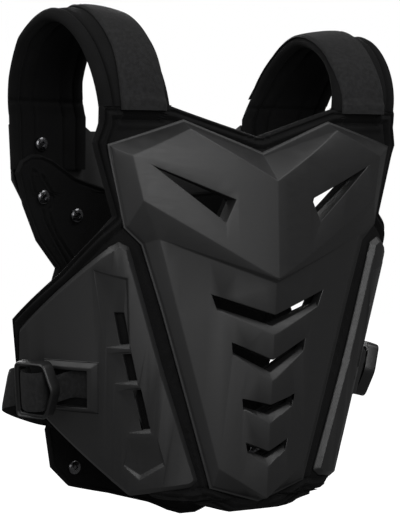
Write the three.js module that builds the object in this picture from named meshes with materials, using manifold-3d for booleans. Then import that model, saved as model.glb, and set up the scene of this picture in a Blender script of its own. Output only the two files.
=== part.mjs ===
// Roost deflector: a padded vest with moulded plates over the chest, sides and back.
// Millimetres, +Z up. The front faces -Y and the wearer's right is -X.
// The origin is the seat between the shoulders. The pieces are laid out from the plate datum,
// the top of the chest plate's ridge, and one group carries them to the seat.

import * as THREE from 'three';
import { mergeVertices } from 'three/addons/utils/BufferGeometryUtils.js';
import Module from 'manifold-3d';

const wasm = await Module();
wasm.setup();

// Place of the shoulder seat, measured from the plate datum
const seatBack = 115;
const seatRise = 140;

// General fits
const seatGap = 0.4;
const cutOver = 30;

// Front padding: thickness, and the curve of its front face in plan
const foamThickness = 9;
const foamSetback = 28;
const foamLean = 8;
const chestRadius = 700;
const foldTurn = THREE.MathUtils.degToRad(40);
const foldRun = 30;
const wingRadius = 400;
const foldReachHigh = 133;
const foldReachLow = 60;
const foldDropHigh = 45;
const foldDropLow = 276;

// Front padding: outline sizes, across from the centre line and up or down from the datum
const neckRise = 40;
const neckHalfWidth = 85;
const tabRise = 66;
const tabSetback = 39;
const shoulderReach = 157;
const shoulderFlare = 5;
const shoulderFlareRise = 33;
const armNotchReach = 143;
const armNotchDrop = 31;
const wingReach = 262;
const wingTopDrop = 126;
const wingLowDrop = 218;
const wingCut = 32;
const wingFootReach = 131;
const wingFootDrop = 287;
const foamFootReach = 52;
const foamFootDrop = 289;
const foamDrop = 300;

// Chest plate
const plateWall = 2.6;
const plateHalfWidth = 150;
const plateRise = 54.5;
const plateDrop = 292;
const maskDrop = 91;
const plateRelief = 34;
const plateRimStand = 2.6;

// Side plates
const sideReach = 255;
const sideRearFlare = 6;
const sideFrontGap = 4;
const sideTopDrop = 53;
const sideRearDrop = 136;
const sideRearHeight = 64;
const sideRearCut = 17;
const sideFootReach = 125;
const sideFootSlope = 12;
const sideFootWiden = 17;
const sideDrop = 284;
const sideCorner = 7;
const sideStand = 6;
const sideWall = 2.6;
const slotSetback = 30;
const slotWidth = 8.3;
const slotSlant = 0.21;

// Back padding and back plate
const backReach = 203;
const backLean = 0.03;
const backRadius = 750;
const backThickness = 5;
const backHalfWidth = 170;
const backTabRise = 24;
const backDrop = 334;
const backPlateHalfWidth = 168;
const backPlateRise = 52;
const backPlateDrop = 300;
const backPlateRelief = 16;
const backPlateWall = 2.6;

// Shoulder pads and straps
const padWidth = 71;
const padThickness = 8;
const padCrown = 5;
const padReach = 121;
const yokeRise = 60;
const yokeSpread = 10;
const rootLength = 50;
const crownFade = 0.8;
const archRiseRight = 160;
const archRiseLeft = 146;
const archPowerFront = 1.85;
const archPowerBack = 1.65;
const strapWidth = 45;
const strapThickness = 3;
const strapGap = 0.7;
const strapInset = 7;
const strapShift = 0.25;
const archStart = 0.002;
const strapStart = 0.01;
const strapTail = 0.9;

// Waist buckles and webbing
const webbingWidth = 36;
const webbingThickness = 2;
const buckleSetback = 71;
const buckleReach = sideReach - buckleSetback;
const buckleLength = 48;
const buckleHeight = 52;
const buckleMiddleDrop = 183;
const buckleThickness = 11;
const buckleLift = 10;
const buckleBorder = 4.5;
const buckleNose = 11;
const tabWebbingWidth = 25;
const recessLead = 23;
const recessReach = buckleReach - recessLead;
const recessLength = 36;
const recessHeight = 35;
const waistBulgeReach = 182;
const waistBulgeFlare = 8;
const waistBulgeBack = 184;
const waistAnchorReach = 100;
const waistAnchorDrop = 217;
const waistAnchorHold = 22;
const windowGap = 2;
const webbingRoll = 17;

// Screws of the back plate
const screwRadius = 7;
const screwHead = 3.5;
const screwEdge = 1;
const screwSides = 10;
const screwRings = 3;

// Fineness of the faceted surfaces
const rowStep = 30;
const frontColumns = 34;
const sideColumns = 8;
const backColumns = 12;
const arcSteps = 20;
const rootSteps = 2;
const bandColumns = 4;
const padColumns = 4;

// Colours, dark grey throughout
const plasticMaterial = new THREE.MeshStandardMaterial({ color: 0x232325, roughness: 0.42, metalness: 0 });
const foamMaterial = new THREE.MeshStandardMaterial({ color: 0x161617, roughness: 0.95, metalness: 0 });
const webbingMaterial = new THREE.MeshStandardMaterial({ color: 0x19191b, roughness: 0.85, metalness: 0 });
const screwMaterial = new THREE.MeshStandardMaterial({ color: 0x3a3a3e, roughness: 0.3, metalness: 0.8 });

// Names of the two sides, with the sign of X and the rise of the shoulder arch
const sides = [
  { name: 'right', sign: -1, archRise: archRiseRight },
  { name: 'left', sign: 1, archRise: archRiseLeft },
];

function smoothRise(share) {
  const t = Math.min(1, Math.max(0, share));
  return t * t * (3 - 2 * t);
}

// Distance from the centre line at which the chest folds back into a wing, at height z
function foldReach(z) {
  const share = (-z - foldDropHigh) / (foldDropLow - foldDropHigh);
  return foldReachHigh - share * (foldReachHigh - foldReachLow);
}

// Heading of the front face in plan, after an arc length s from the centre line
function frontHeading(s, z) {
  const past = s - foldReach(z);
  const fold = foldTurn * smoothRise(past / foldRun);
  const bend = Math.max(0, past - foldRun) / wingRadius;
  return s / chestRadius + fold + bend;
}

// Point at arc length s along the front face, height z, and stand h off the face
function frontPoint(s, z, h) {
  const side = Math.sign(s) || 1;
  const reach = Math.abs(s);
  const steps = Math.max(1, Math.ceil(reach / 2));
  const step = reach / steps;
  let x = 0;
  let y = 0;
  for (let i = 0; i < steps; i += 1) {
    const heading = frontHeading((i + 0.5) * step, z);
    x += Math.cos(heading) * step;
    y += Math.sin(heading) * step;
  }
  const intoTab = smoothRise((z - neckRise / 2) / (tabRise - neckRise / 2));
  const faceSetback = foamSetback + (foamLean * (neckRise - z)) / (neckRise + foamDrop);
  const turn = frontHeading(reach, z) * (1 - intoTab);
  const back = (1 - intoTab) * (faceSetback + y) + intoTab * tabSetback;
  return new THREE.Vector3(side * (x + h * Math.sin(turn)), back - h * Math.cos(turn), z);
}

// Point of the back padding's inner face at reach x and height z, standing h behind it
function backPoint(x, z, h) {
  const turn = x / backRadius;
  const back = backReach - backLean * z - (x * x) / (2 * backRadius);
  return new THREE.Vector3(x + h * Math.sin(turn), back + h * Math.cos(turn), z);
}

function geometryFrom(points, faces) {
  const geometry = new THREE.BufferGeometry();
  const places = points.flatMap((p) => [p.x, p.y, p.z]);
  geometry.setAttribute('position', new THREE.Float32BufferAttribute(places, 3));
  geometry.setIndex(faces.flat());
  return geometry;
}

function solidFrom(geometry) {
  const bare = geometry.index ? geometry.clone() : geometry;
  bare.deleteAttribute('normal');
  bare.deleteAttribute('uv');
  const merged = mergeVertices(bare, 0.0001);
  const vertProperties = new Float32Array(merged.attributes.position.array);
  const triVerts = new Uint32Array(merged.index.array);
  return new wasm.Manifold(new wasm.Mesh({ numProp: 3, vertProperties, triVerts }));
}

function geometryOf(solid) {
  const mesh = solid.getMesh();
  const geometry = new THREE.BufferGeometry();
  geometry.setAttribute('position', new THREE.BufferAttribute(mesh.vertProperties, mesh.numProp));
  geometry.setIndex(new THREE.BufferAttribute(mesh.triVerts, 1));
  return geometry;
}

// Closed sheet over a grid: outer(i, j) and inner(i, j) give the two skins
function sheet(columns, rows, outer, inner) {
  const points = [];
  const faces = [];
  const skinSize = (columns + 1) * (rows + 1);
  for (const skin of [outer, inner]) {
    for (let i = 0; i <= columns; i += 1) {
      for (let j = 0; j <= rows; j += 1) {
        points.push(skin(i, j));
      }
    }
  }
  const at = (i, j) => i * (rows + 1) + j;
  const quad = (a, b, c, d) => faces.push([a, b, c], [a, c, d]);
  for (let i = 0; i < columns; i += 1) {
    for (let j = 0; j < rows; j += 1) {
      quad(at(i, j), at(i + 1, j), at(i + 1, j + 1), at(i, j + 1));
      const low = skinSize;
      quad(low + at(i, j), low + at(i, j + 1), low + at(i + 1, j + 1), low + at(i + 1, j));
    }
  }
  for (let i = 0; i < columns; i += 1) {
    quad(at(i, 0), skinSize + at(i, 0), skinSize + at(i + 1, 0), at(i + 1, 0));
    quad(at(i, rows), at(i + 1, rows), skinSize + at(i + 1, rows), skinSize + at(i, rows));
  }
  for (let j = 0; j < rows; j += 1) {
    quad(at(0, j), at(0, j + 1), skinSize + at(0, j + 1), skinSize + at(0, j));
    quad(at(columns, j), skinSize + at(columns, j), skinSize + at(columns, j + 1), at(columns, j + 1));
  }
  return geometryFrom(points, faces);
}

// Closed prism over an outline of [across, up] pairs, between two stands of a chart
function chartPrism(chart, outline, lowStand, highStand) {
  const flat = outline.map(([across, up]) => new THREE.Vector2(across, up));
  if (THREE.ShapeUtils.isClockWise(flat)) {
    flat.reverse();
  }
  const count = flat.length;
  const high = flat.map((p) => chart(p.x, p.y, highStand));
  const low = flat.map((p) => chart(p.x, p.y, lowStand));
  const faces = [];
  for (const [a, b, c] of THREE.ShapeUtils.triangulateShape(flat, [])) {
    faces.push([a, b, c], [count + c, count + b, count + a]);
  }
  for (let i = 0; i < count; i += 1) {
    const next = (i + 1) % count;
    faces.push([i, count + i, count + next], [i, count + next, next]);
  }
  return solidFrom(outward(geometryFrom([...high, ...low], faces)));
}

// Turns every face over if the closed geometry is inside out
function outward(geometry) {
  const place = geometry.attributes.position;
  const index = geometry.index.array;
  let volume = 0;
  const [a, b, c] = [new THREE.Vector3(), new THREE.Vector3(), new THREE.Vector3()];
  for (let i = 0; i < index.length; i += 3) {
    a.fromBufferAttribute(place, index[i]);
    b.fromBufferAttribute(place, index[i + 1]);
    c.fromBufferAttribute(place, index[i + 2]);
    volume += a.dot(b.cross(c));
  }
  if (volume < 0) {
    for (let i = 0; i < index.length; i += 3) {
      [index[i + 1], index[i + 2]] = [index[i + 2], index[i + 1]];
    }
  }
  return geometry;
}

// Rows of a sheet's outline, no further apart than a step
function closerRows(rows, step) {
  const close = [rows[0]];
  for (let k = 1; k < rows.length; k += 1) {
    const [above, below] = [rows[k - 1], rows[k]];
    const parts = Math.max(1, Math.round((above.up - below.up) / step));
    for (let part = 1; part <= parts; part += 1) {
      const t = part / parts;
      close.push({
        up: above.up + (below.up - above.up) * t,
        from: above.from + (below.from - above.from) * t,
        to: above.to + (below.to - above.to) * t,
      });
    }
  }
  return close;
}

// Solid sheet of a chart between two stands. Each row of its outline gives a height and
// where the sheet starts and ends across.
function rowSheet(chart, rows, columns, lowStand, highStand) {
  const close = closerRows(rows, rowStep);
  const skin = (stand) => (i, j) => {
    const row = close[j];
    return chart(row.from + ((row.to - row.from) * i) / columns, row.up, stand);
  };
  return solidFrom(outward(sheet(columns, close.length - 1, skin(highStand), skin(lowStand))));
}

function evenRows(halfRows) {
  return halfRows.map(([reach, up]) => ({ up, from: -reach, to: reach }));
}

// Whole outline from its right half, whose first and last points lie on the centre line
function mirroredOutline(half) {
  const other = half.slice(1, -1).reverse();
  return [...half, ...other.map(([across, up]) => [-across, up])];
}

function flipAcross(outline, sign) {
  return outline.map(([across, up]) => [sign * across, up]);
}

// Slits and vents of the chest plate: corners of each right half, as shares of the plate's sizes
const eyeSlit = [
  { across: 0.733, up: 0.23 },
  { across: 0.258, up: -0.306 },
  { across: 0.32, up: -0.668 },
];
const vents = [
  { outer: 0.384, outerLow: 0.343, top: 0.342, outerDrop: 0.392, apexTop: 0.41, apexLow: 0.471 },
  { outer: 0.253, outerLow: 0.241, top: 0.49, outerDrop: 0.529, apexTop: 0.549, apexLow: 0.615 },
  { outer: 0.177, outerLow: 0.165, top: 0.664, outerDrop: 0.7, apexTop: 0.688, apexLow: 0.747 },
  { outer: 0.145, outerLow: 0.13, top: 0.801, outerDrop: 0.835, apexTop: 0.834, apexLow: 0.882 },
];

function chestCuts(lowStand) {
  const cuts = [];
  for (const { sign } of sides) {
    const slit = eyeSlit.map((p) => [sign * p.across * plateHalfWidth, p.up * plateRise]);
    cuts.push(chartPrism(frontPoint, slit, lowStand, plateRelief + cutOver));
  }
  for (const vent of vents) {
    const half = [
      [0, -vent.apexTop * plateDrop],
      [vent.outer * plateHalfWidth, -vent.top * plateDrop],
      [vent.outerLow * plateHalfWidth, -vent.outerDrop * plateDrop],
      [0, -vent.apexLow * plateDrop],
    ];
    cuts.push(chartPrism(frontPoint, mirroredOutline(half), lowStand, plateRelief + cutOver));
  }
  return cuts;
}

// Slab of the front padding's outline, from its back face up to a stand off its front face
function frontSlab(stand) {
  const rows = evenRows([
    [shoulderReach, tabRise],
    [shoulderReach, (tabRise + shoulderFlareRise) / 2],
    [shoulderReach + shoulderFlare, shoulderFlareRise],
    [armNotchReach, -armNotchDrop],
    [wingReach, -wingTopDrop],
    [wingReach, wingCut - wingLowDrop],
    [wingReach - wingCut, -wingLowDrop],
    [wingFootReach, -wingFootDrop],
    [foamFootReach, -foamFootDrop],
    [foamFootReach / 2, -foamDrop],
  ]);
  const slab = rowSheet(frontPoint, rows, frontColumns, -foamThickness, stand);
  const neck = [[-neckHalfWidth, tabRise], [0, neckRise], [neckHalfWidth, tabRise], [0, tabRise + cutOver]];
  return slab.subtract(chartPrism(frontPoint, neck, -cutOver, cutOver));
}

function frontFoamPanel() {
  const cuts = chestCuts(-foamThickness - cutOver);
  return geometryOf(cuts.reduce((body, cut) => body.subtract(cut), frontSlab(0)));
}

function clearOfPadding(plate) {
  return plate.subtract(frontSlab(seatGap));
}

// Corners of the chest plate's right half, as shares of its half width, of its rise above
// the datum or drop below it, and of its relief. Rim corners stand at plateRimStand.
const plateCorners = {
  neckRim: { across: 0, rise: 0.472, rim: true },
  peakRim: { across: 0.51, rise: 1, rim: true },
  shoulderRim: { across: 1, rise: 0.587, rim: true },
  waistRim: { across: 0.9, drop: 0.154, rim: true },
  flankRim: { across: 0.653, drop: 0.394, rim: true },
  hipRim: { across: 0.333, drop: 0.945, rim: true },
  footRim: { across: 0, drop: 1, rim: true },
  ridgeTop: { across: 0, rise: 0, relief: 0.853 },
  peak: { across: 0.507, rise: 0.844, relief: 0.294 },
  corner: { across: 0.86, rise: 0.367, relief: 0.394 },
  cornerLow: { across: 0.807, drop: 0.058, relief: 0.456 },
  maskTip: { across: 0, drop: 0.3, relief: 1 },
  waist: { across: 0.87, drop: 0.154, relief: 0.279 },
  flank: { across: 0.613, drop: 0.394, relief: 0.324 },
  hip: { across: 0.287, drop: 0.884, relief: 0.279 },
  foot: { across: 0, drop: 0.986, relief: 0.56 },
  keelTop: { across: 0, drop: 0.312, relief: 0.882 },
};
const plateFaces = [
  ['neckRim', 'peakRim', 'peak'],
  ['neckRim', 'peak', 'ridgeTop'],
  ['peakRim', 'shoulderRim', 'corner'],
  ['peakRim', 'corner', 'peak'],
  ['shoulderRim', 'cornerLow', 'corner'],
  ['shoulderRim', 'waist', 'cornerLow'],
  ['shoulderRim', 'waistRim', 'waist'],
  ['ridgeTop', 'peak', 'corner'],
  ['ridgeTop', 'corner', 'cornerLow'],
  ['ridgeTop', 'cornerLow', 'maskTip'],
  ['maskTip', 'cornerLow', 'waist'],
  ['maskTip', 'waist', 'keelTop'],
  ['keelTop', 'waist', 'flank'],
  ['keelTop', 'flank', 'hip'],
  ['keelTop', 'hip', 'foot'],
  ['waist', 'waistRim', 'flankRim'],
  ['waist', 'flankRim', 'flank'],
  ['flank', 'flankRim', 'hipRim'],
  ['flank', 'hipRim', 'hip'],
  ['hip', 'hipRim', 'footRim'],
  ['hip', 'footRim', 'foot'],
];
const plateRim = ['neckRim', 'peakRim', 'shoulderRim', 'waistRim', 'flankRim', 'hipRim', 'footRim'];

// Splits every face in four at the middles of its edges, so that it can follow a curved chart
function halved({ points, faces }) {
  const all = [...points];
  const middles = new Map();
  const middle = (a, b) => {
    const key = a < b ? `${a} ${b}` : `${b} ${a}`;
    if (!middles.has(key)) {
      middles.set(key, all.length);
      all.push(points[a].clone().lerp(points[b], 0.5));
    }
    return middles.get(key);
  };
  const quarters = faces.flatMap(([a, b, c]) => {
    const [ab, bc, ca] = [middle(a, b), middle(b, c), middle(c, a)];
    return [[a, ab, ca], [ab, b, bc], [ca, bc, c], [ab, bc, ca]];
  });
  return { points: all, faces: quarters };
}

// Thin moulded shell from named corners: faces of the right half are mirrored to the left,
// the inner skin lies one wall inside, and the rim turns in to the padding
function mouldedShell(chart, corners, halfFaces, halfRim, wall, middle) {
  const outer = [];
  const inner = [];
  const find = new Map();
  const feet = new Map();
  const names = Object.keys(corners);
  for (const sign of [1, -1]) {
    for (const name of names) {
      const { across, up, stand } = corners[name];
      if (sign < 0 && across === 0) {
        find.set(`-${name}`, find.get(`+${name}`));
        continue;
      }
      find.set(`${sign > 0 ? '+' : '-'}${name}`, outer.length);
      if (halfRim.includes(name)) {
        feet.set(outer.length, corners[name].foot);
      }
      outer.push(new THREE.Vector3(sign * across, up, stand));
    }
  }
  const faces = [];
  for (const [a, b, c] of halfFaces) {
    faces.push([find.get(`+${a}`), find.get(`+${c}`), find.get(`+${b}`)]);
    faces.push([find.get(`-${a}`), find.get(`-${b}`), find.get(`-${c}`)]);
  }
  const normals = outer.map(() => new THREE.Vector3());
  for (const [a, b, c] of faces) {
    const edge = outer[b].clone().sub(outer[a]);
    const normal = edge.cross(outer[c].clone().sub(outer[a]));
    [a, b, c].forEach((k) => normals[k].add(normal));
  }
  outer.forEach((p, k) => {
    if (feet.has(k)) {
      const inward = new THREE.Vector3(-p.x, middle - p.y, 0).normalize();
      inner.push(new THREE.Vector3(p.x + inward.x * wall, p.y + inward.y * wall, feet.get(k)));
      return;
    }
    inner.push(p.clone().addScaledVector(normals[k].normalize(), -wall));
  });
  const count = outer.length;
  const allFaces = faces.flatMap(([a, b, c]) => [[a, b, c], [count + a, count + c, count + b]]);
  const ring = [
    ...halfRim.map((name) => find.get(`+${name}`)),
    ...halfRim.slice(1, -1).reverse().map((name) => find.get(`-${name}`)),
  ];
  ring.forEach((k, i) => {
    const next = ring[(i + 1) % ring.length];
    allFaces.push([k, next, count + next], [k, count + next, count + k]);
  });
  const fine = halved({ points: [...outer, ...inner], faces: allFaces });
  const placed = fine.points.map((p) => chart(p.x, p.y, p.z));
  return solidFrom(outward(geometryFrom(placed, fine.faces)));
}

// Places of named corners from their shares of a plate's sizes
function cornerPlaces(corners, size) {
  const places = {};
  for (const [name, corner] of Object.entries(corners)) {
    const across = corner.across * size.halfWidth;
    const up = corner.drop === undefined ? corner.rise * size.rise : -corner.drop * size.drop;
    const lift = corner.lifted ? padThickness + 2 * seatGap : 0;
    const stand = corner.rim ? plateRimStand + lift : corner.relief * size.relief;
    places[name] = { across, up, stand, foot: seatGap + lift };
  }
  return places;
}

function chestPlate() {
  const places = cornerPlaces(plateCorners, {
    halfWidth: plateHalfWidth, rise: plateRise, drop: plateDrop, relief: plateRelief,
  });
  const shell = mouldedShell(frontPoint, places, plateFaces, plateRim, plateWall, -maskDrop);
  const cuts = chestCuts(seatGap - cutOver);
  return geometryOf(cuts.reduce((body, cut) => body.subtract(cut), clearOfPadding(shell)));
}

// Rows of a side plate, from its top corner down, pulled in by an inset
function sideRows(inset) {
  const front = (drop) => foldReach(-drop) + sideFrontGap;
  const rearLow = sideRearDrop + sideRearHeight;
  const footTop = sideDrop - sideFootSlope;
  const rows = [
    { drop: sideTopDrop, from: front(sideTopDrop), to: front(sideTopDrop) + sideCorner },
    { drop: sideRearDrop, from: front(sideRearDrop), to: sideReach - sideRearFlare },
    { drop: rearLow, from: front(rearLow), to: sideReach },
    { drop: rearLow + sideRearCut, from: front(rearLow + sideRearCut), to: sideReach - 2 * sideRearCut },
    { drop: footTop, from: front(footTop), to: sideFootReach + sideFootWiden },
    { drop: sideDrop, from: sideFootReach - sideCorner, to: sideFootReach },
  ];
  rows[0].drop += 3 * inset;
  rows[rows.length - 1].drop -= inset;
  return rows.map(({ drop, from, to }) => ({ up: -drop, from: from + inset, to: to - inset }));
}

// The three slots run down beside the fold, as shares of the side plate's drop
const sideSlots = [
  { top: 0.405, low: 0.506 },
  { top: 0.536, low: 0.62 },
  { top: 0.649, low: 0.775 },
];

function sidePlate(sign) {
  const chart = (across, up, stand) => frontPoint(sign * across, up, stand);
  const block = rowSheet(chart, sideRows(0), sideColumns, -seatGap, sideStand);
  const core = rowSheet(chart, sideRows(sideWall), sideColumns, -cutOver / 2, sideStand - sideWall);
  let shell = block.subtract(core);
  for (const slot of sideSlots) {
    const top = -slot.top * sideDrop;
    const low = -slot.low * sideDrop;
    const reach = foldReach(top) + slotSetback;
    const slant = (top - low) * slotSlant;
    const corners = [
      [reach, top],
      [reach - slotWidth, top],
      [reach - slotWidth - slant, low],
      [reach - slant, low],
    ];
    shell = shell.subtract(chartPrism(chart, corners, -cutOver, cutOver));
  }
  const recess = [
    [recessReach, -buckleMiddleDrop + recessHeight / 2],
    [recessReach + recessLength, -buckleMiddleDrop + recessHeight / 2],
    [recessReach + recessLength, -buckleMiddleDrop - recessHeight / 2],
    [recessReach, -buckleMiddleDrop - recessHeight / 2],
  ];
  shell = shell.subtract(chartPrism(chart, recess, -cutOver, cutOver));
  return geometryOf(clearOfPadding(shell));
}

// Edge of the back padding below its tabs, as shares of its half width and drop. Its foot
// leans to the wearer's left.
const backEdge = [
  { across: 0.98, drop: 0.01 },
  { across: 0.95, drop: 0.07 },
  { across: 0.86, drop: 0.17 },
  { across: 0.73, drop: 0.25 },
  { across: 0.83, drop: 0.4 },
  { across: 0.69, drop: 0.56 },
  { across: 0.79, drop: 0.71 },
  { across: 0.75, drop: 0.82 },
  { across: 0.63, drop: 0.88 },
  { across: 0.4, drop: 0.915, lean: 0.02 },
  { across: 0.21, drop: 0.955, lean: 0.07 },
  { across: 0.13, drop: 0.985, lean: 0.12 },
  { across: 0.05, drop: 1, lean: 0.17 },
];
const backTabEdge = [
  { across: 0.9, rise: 1 },
  { across: 0.97, rise: 0.75 },
  { across: 1, rise: 0.3 },
];
// Neckline between the two tabs, as shares of the half width and of the tabs' rise
const backNeckline = [
  { across: 0, rise: -0.6 },
  { across: 0.35, rise: -0.45 },
  { across: 0.6, rise: 0.1 },
  { across: 0.76, rise: 0.8 },
  { across: 0.84, rise: 1 },
  { across: 0.84, rise: 2 },
  { across: 0, rise: 2 },
];

function backFoamPanel() {
  const tabRows = backTabEdge.map(({ across, rise }) => [across * backHalfWidth, rise * backTabRise]);
  const lowRows = backEdge.map(({ across, drop, lean = 0 }) => ({
    up: -drop * backDrop,
    from: (lean - across) * backHalfWidth,
    to: (lean + across) * backHalfWidth,
  }));
  const rows = [...evenRows(tabRows), ...lowRows];
  const slab = rowSheet(backPoint, rows, backColumns, 0, backThickness);
  const neckline = mirroredOutline(
    backNeckline.map(({ across, rise }) => [across * backHalfWidth, rise * backTabRise]),
  );
  return geometryOf(slab.subtract(chartPrism(backPoint, neckline, -cutOver, cutOver)));
}

// Corners of the back plate's right half, as shares of its own sizes. The shoulders of the
// rim are lifted over the roots of the shoulder pads.
const backCorners = {
  neckRim: { across: 0, rise: 0.9, rim: true },
  neckSideRim: { across: 0.46, rise: 0.9, rim: true, lifted: true },
  shoulderInRim: { across: 0.52, rise: 1.05, rim: true, lifted: true },
  shoulderOutRim: { across: 1, rise: 1, rim: true, lifted: true },
  bladeRim: { across: 0.98, rise: 0, rim: true, lifted: true },
  flankRim: { across: 0.7, drop: 0.3, rim: true },
  waistRim: { across: 0.53, drop: 0.6, rim: true },
  hipRim: { across: 0.55, drop: 0.9, rim: true },
  footRim: { across: 0, drop: 1, rim: true },
  spineTop: { across: 0, rise: 0.6, relief: 1.6 },
  shoulderIn: { across: 0.5, rise: 0.75, relief: 1.3 },
  shoulderOut: { across: 0.94, rise: 0.75, relief: 1.1 },
  blade: { across: 0.9, rise: 0, relief: 1.2 },
  flank: { across: 0.64, drop: 0.28, relief: 0.7 },
  waist: { across: 0.47, drop: 0.58, relief: 0.7 },
  hip: { across: 0.49, drop: 0.88, relief: 0.7 },
  foot: { across: 0, drop: 0.96, relief: 0.9 },
};
const backFaces = [
  ['neckRim', 'neckSideRim', 'shoulderIn'],
  ['neckRim', 'shoulderIn', 'spineTop'],
  ['neckSideRim', 'shoulderInRim', 'shoulderIn'],
  ['shoulderInRim', 'shoulderOutRim', 'shoulderOut'],
  ['shoulderInRim', 'shoulderOut', 'shoulderIn'],
  ['shoulderOutRim', 'bladeRim', 'blade'],
  ['shoulderOutRim', 'blade', 'shoulderOut'],
  ['bladeRim', 'flankRim', 'flank'],
  ['bladeRim', 'flank', 'blade'],
  ['flankRim', 'waistRim', 'waist'],
  ['flankRim', 'waist', 'flank'],
  ['waistRim', 'hipRim', 'hip'],
  ['waistRim', 'hip', 'waist'],
  ['hipRim', 'footRim', 'foot'],
  ['hipRim', 'foot', 'hip'],
  ['spineTop', 'shoulderIn', 'blade'],
  ['shoulderIn', 'shoulderOut', 'blade'],
  ['spineTop', 'blade', 'flank'],
  ['spineTop', 'flank', 'waist'],
  ['spineTop', 'waist', 'foot'],
  ['waist', 'hip', 'foot'],
];
const backRim = [
  'neckRim', 'neckSideRim', 'shoulderInRim', 'shoulderOutRim', 'bladeRim',
  'flankRim', 'waistRim', 'hipRim', 'footRim',
];

function backPlate() {
  const chart = (across, up, stand) => backPoint(across, up, backThickness + stand);
  const places = cornerPlaces(backCorners, {
    halfWidth: backPlateHalfWidth, rise: backPlateRise, drop: backPlateDrop, relief: backPlateRelief,
  });
  return geometryOf(mouldedShell(chart, places, backFaces, backRim, backPlateWall, -backPlateDrop / 3));
}

// Arch over a shoulder, in three runs: up from the front tab, over, and down the yoke.
// The chart takes a distance across from the middle, a share along the arch (past 1 down
// the root that is screwed to the back plate) and a stand off the wearer's side.
function archChart(side) {
  const yokeReach = padReach + yokeSpread;
  const yokeBack = backPoint(yokeReach, yokeRise, backThickness + 2 * seatGap).y;
  const tabBack = tabSetback + foamThickness;
  const halfSpan = (yokeBack - tabBack) / 2;
  const top = side.archRise - strapThickness - strapGap - padThickness - padCrown;
  const spine = (t) => {
    const over = Math.min(1, t);
    const front = t < 0.5;
    const base = front ? tabRise : yokeRise;
    const power = 2 / (front ? archPowerFront : archPowerBack);
    const [away, up] = [Math.abs(Math.cos(Math.PI * over)), Math.abs(Math.sin(Math.PI * over))];
    const y = tabBack + halfSpan * (1 + (front ? -1 : 1) * away ** power);
    const z = base + (top - base) * up ** power;
    const down = Math.max(0, t - 1) * rootLength;
    return new THREE.Vector3(0, y + down * backLean, z - down);
  };
  return (across, t, stand) => {
    const nearby = 0.01;
    const start = Math.max(0, t - nearby);
    const along = spine(t + nearby).sub(spine(start)).normalize();
    const point = spine(t);
    const x = padReach + across;
    const wrap = (smoothRise(t) * (x * x - yokeReach * yokeReach)) / (2 * backRadius);
    point.x = side.sign * x;
    point.y += -wrap - along.z * stand;
    point.z += along.y * stand;
    return point;
  };
}

// Edges of a shoulder pad on the neck and the arm side, as shares of its width from the
// middle of its foot, at shares along the arch
const padEdges = [
  { along: 0, neck: -0.49, arm: 0.49 },
  { along: 0.25, neck: -0.37, arm: 0.6 },
  { along: 0.5, neck: -0.31, arm: 0.72 },
  { along: 0.7, neck: -0.3, arm: 0.85 },
  { along: 0.85, neck: -0.34, arm: 0.82 },
  { along: 1, neck: -0.465, arm: 0.75 },
  { along: 2, neck: -0.465, arm: 0.72 },
];

// Reading of one column of the pad's edges, in millimetres at share t along the arch
function padEdge(column, t) {
  const next = Math.max(1, padEdges.findIndex((row) => row.along >= t));
  const [before, after] = [padEdges[next - 1], padEdges[next]];
  const part = (t - before.along) / (after.along - before.along);
  return padWidth * (before[column] + (after[column] - before[column]) * part);
}

// Stand of the pad's crowned outer face; the crown fades out before the screwed root
function padStand(across, t) {
  const share = (across - padEdge('neck', t)) / (padEdge('arm', t) - padEdge('neck', t));
  const crown = padCrown * (1 - smoothRise((t - crownFade) / (1 - crownFade)));
  return padThickness + crown * (1 - (2 * share - 1) ** 2);
}

// Band of an arch at the given shares along it, from one edge to the other
function archBand(side, columns, edgesAt, lowAt, highAt, stations) {
  const chart = archChart(side);
  const skin = (standAt) => (i, j) => {
    const [from, to] = edgesAt(stations[j]);
    const across = from + ((to - from) * i) / columns;
    return chart(across, stations[j], standAt(across, stations[j]));
  };
  return outward(sheet(columns, stations.length - 1, skin(highAt), skin(lowAt)));
}

function evenShares(from, to, steps) {
  return Array.from({ length: steps + 1 }, (_, j) => from + ((to - from) * j) / steps);
}

function shoulderPad(side) {
  const edgesAt = (t) => [padEdge('neck', t), padEdge('arm', t)];
  const stations = [...evenShares(archStart, 1, arcSteps), ...evenShares(1, 2, rootSteps).slice(1)];
  return archBand(side, padColumns, edgesAt, () => 0, padStand, stations);
}

function shoulderStrap(side) {
  const low = (across, t) => padStand(across, t) + strapGap;
  const high = (across, t) => low(across, t) + strapThickness;
  const edgesAt = (t) => {
    const inset = strapInset * (1 - smoothRise(t / strapShift));
    return [padEdge('neck', t) + inset, padEdge('neck', t) + inset + strapWidth];
  };
  const stations = evenShares(strapStart, strapTail, arcSteps);
  return archBand(side, bandColumns, edgesAt, low, high, stations);
}

// Flat chart tangent to the wing at the middle of the buckle
function buckleChart(sign) {
  const middle = buckleReach + buckleLength / 2;
  const span = 1;
  const origin = frontPoint(sign * middle, -buckleMiddleDrop, 0);
  const along = frontPoint(sign * (middle + span), -buckleMiddleDrop, 0).sub(origin);
  const upright = frontPoint(sign * middle, span - buckleMiddleDrop, 0).sub(origin);
  const out = along.clone().cross(upright).normalize().multiplyScalar(sign);
  return (across, up, stand) => {
    const point = origin.clone().addScaledVector(along, Math.abs(across) - middle);
    return point.addScaledVector(upright, up + buckleMiddleDrop).addScaledVector(out, stand);
  };
}

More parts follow.
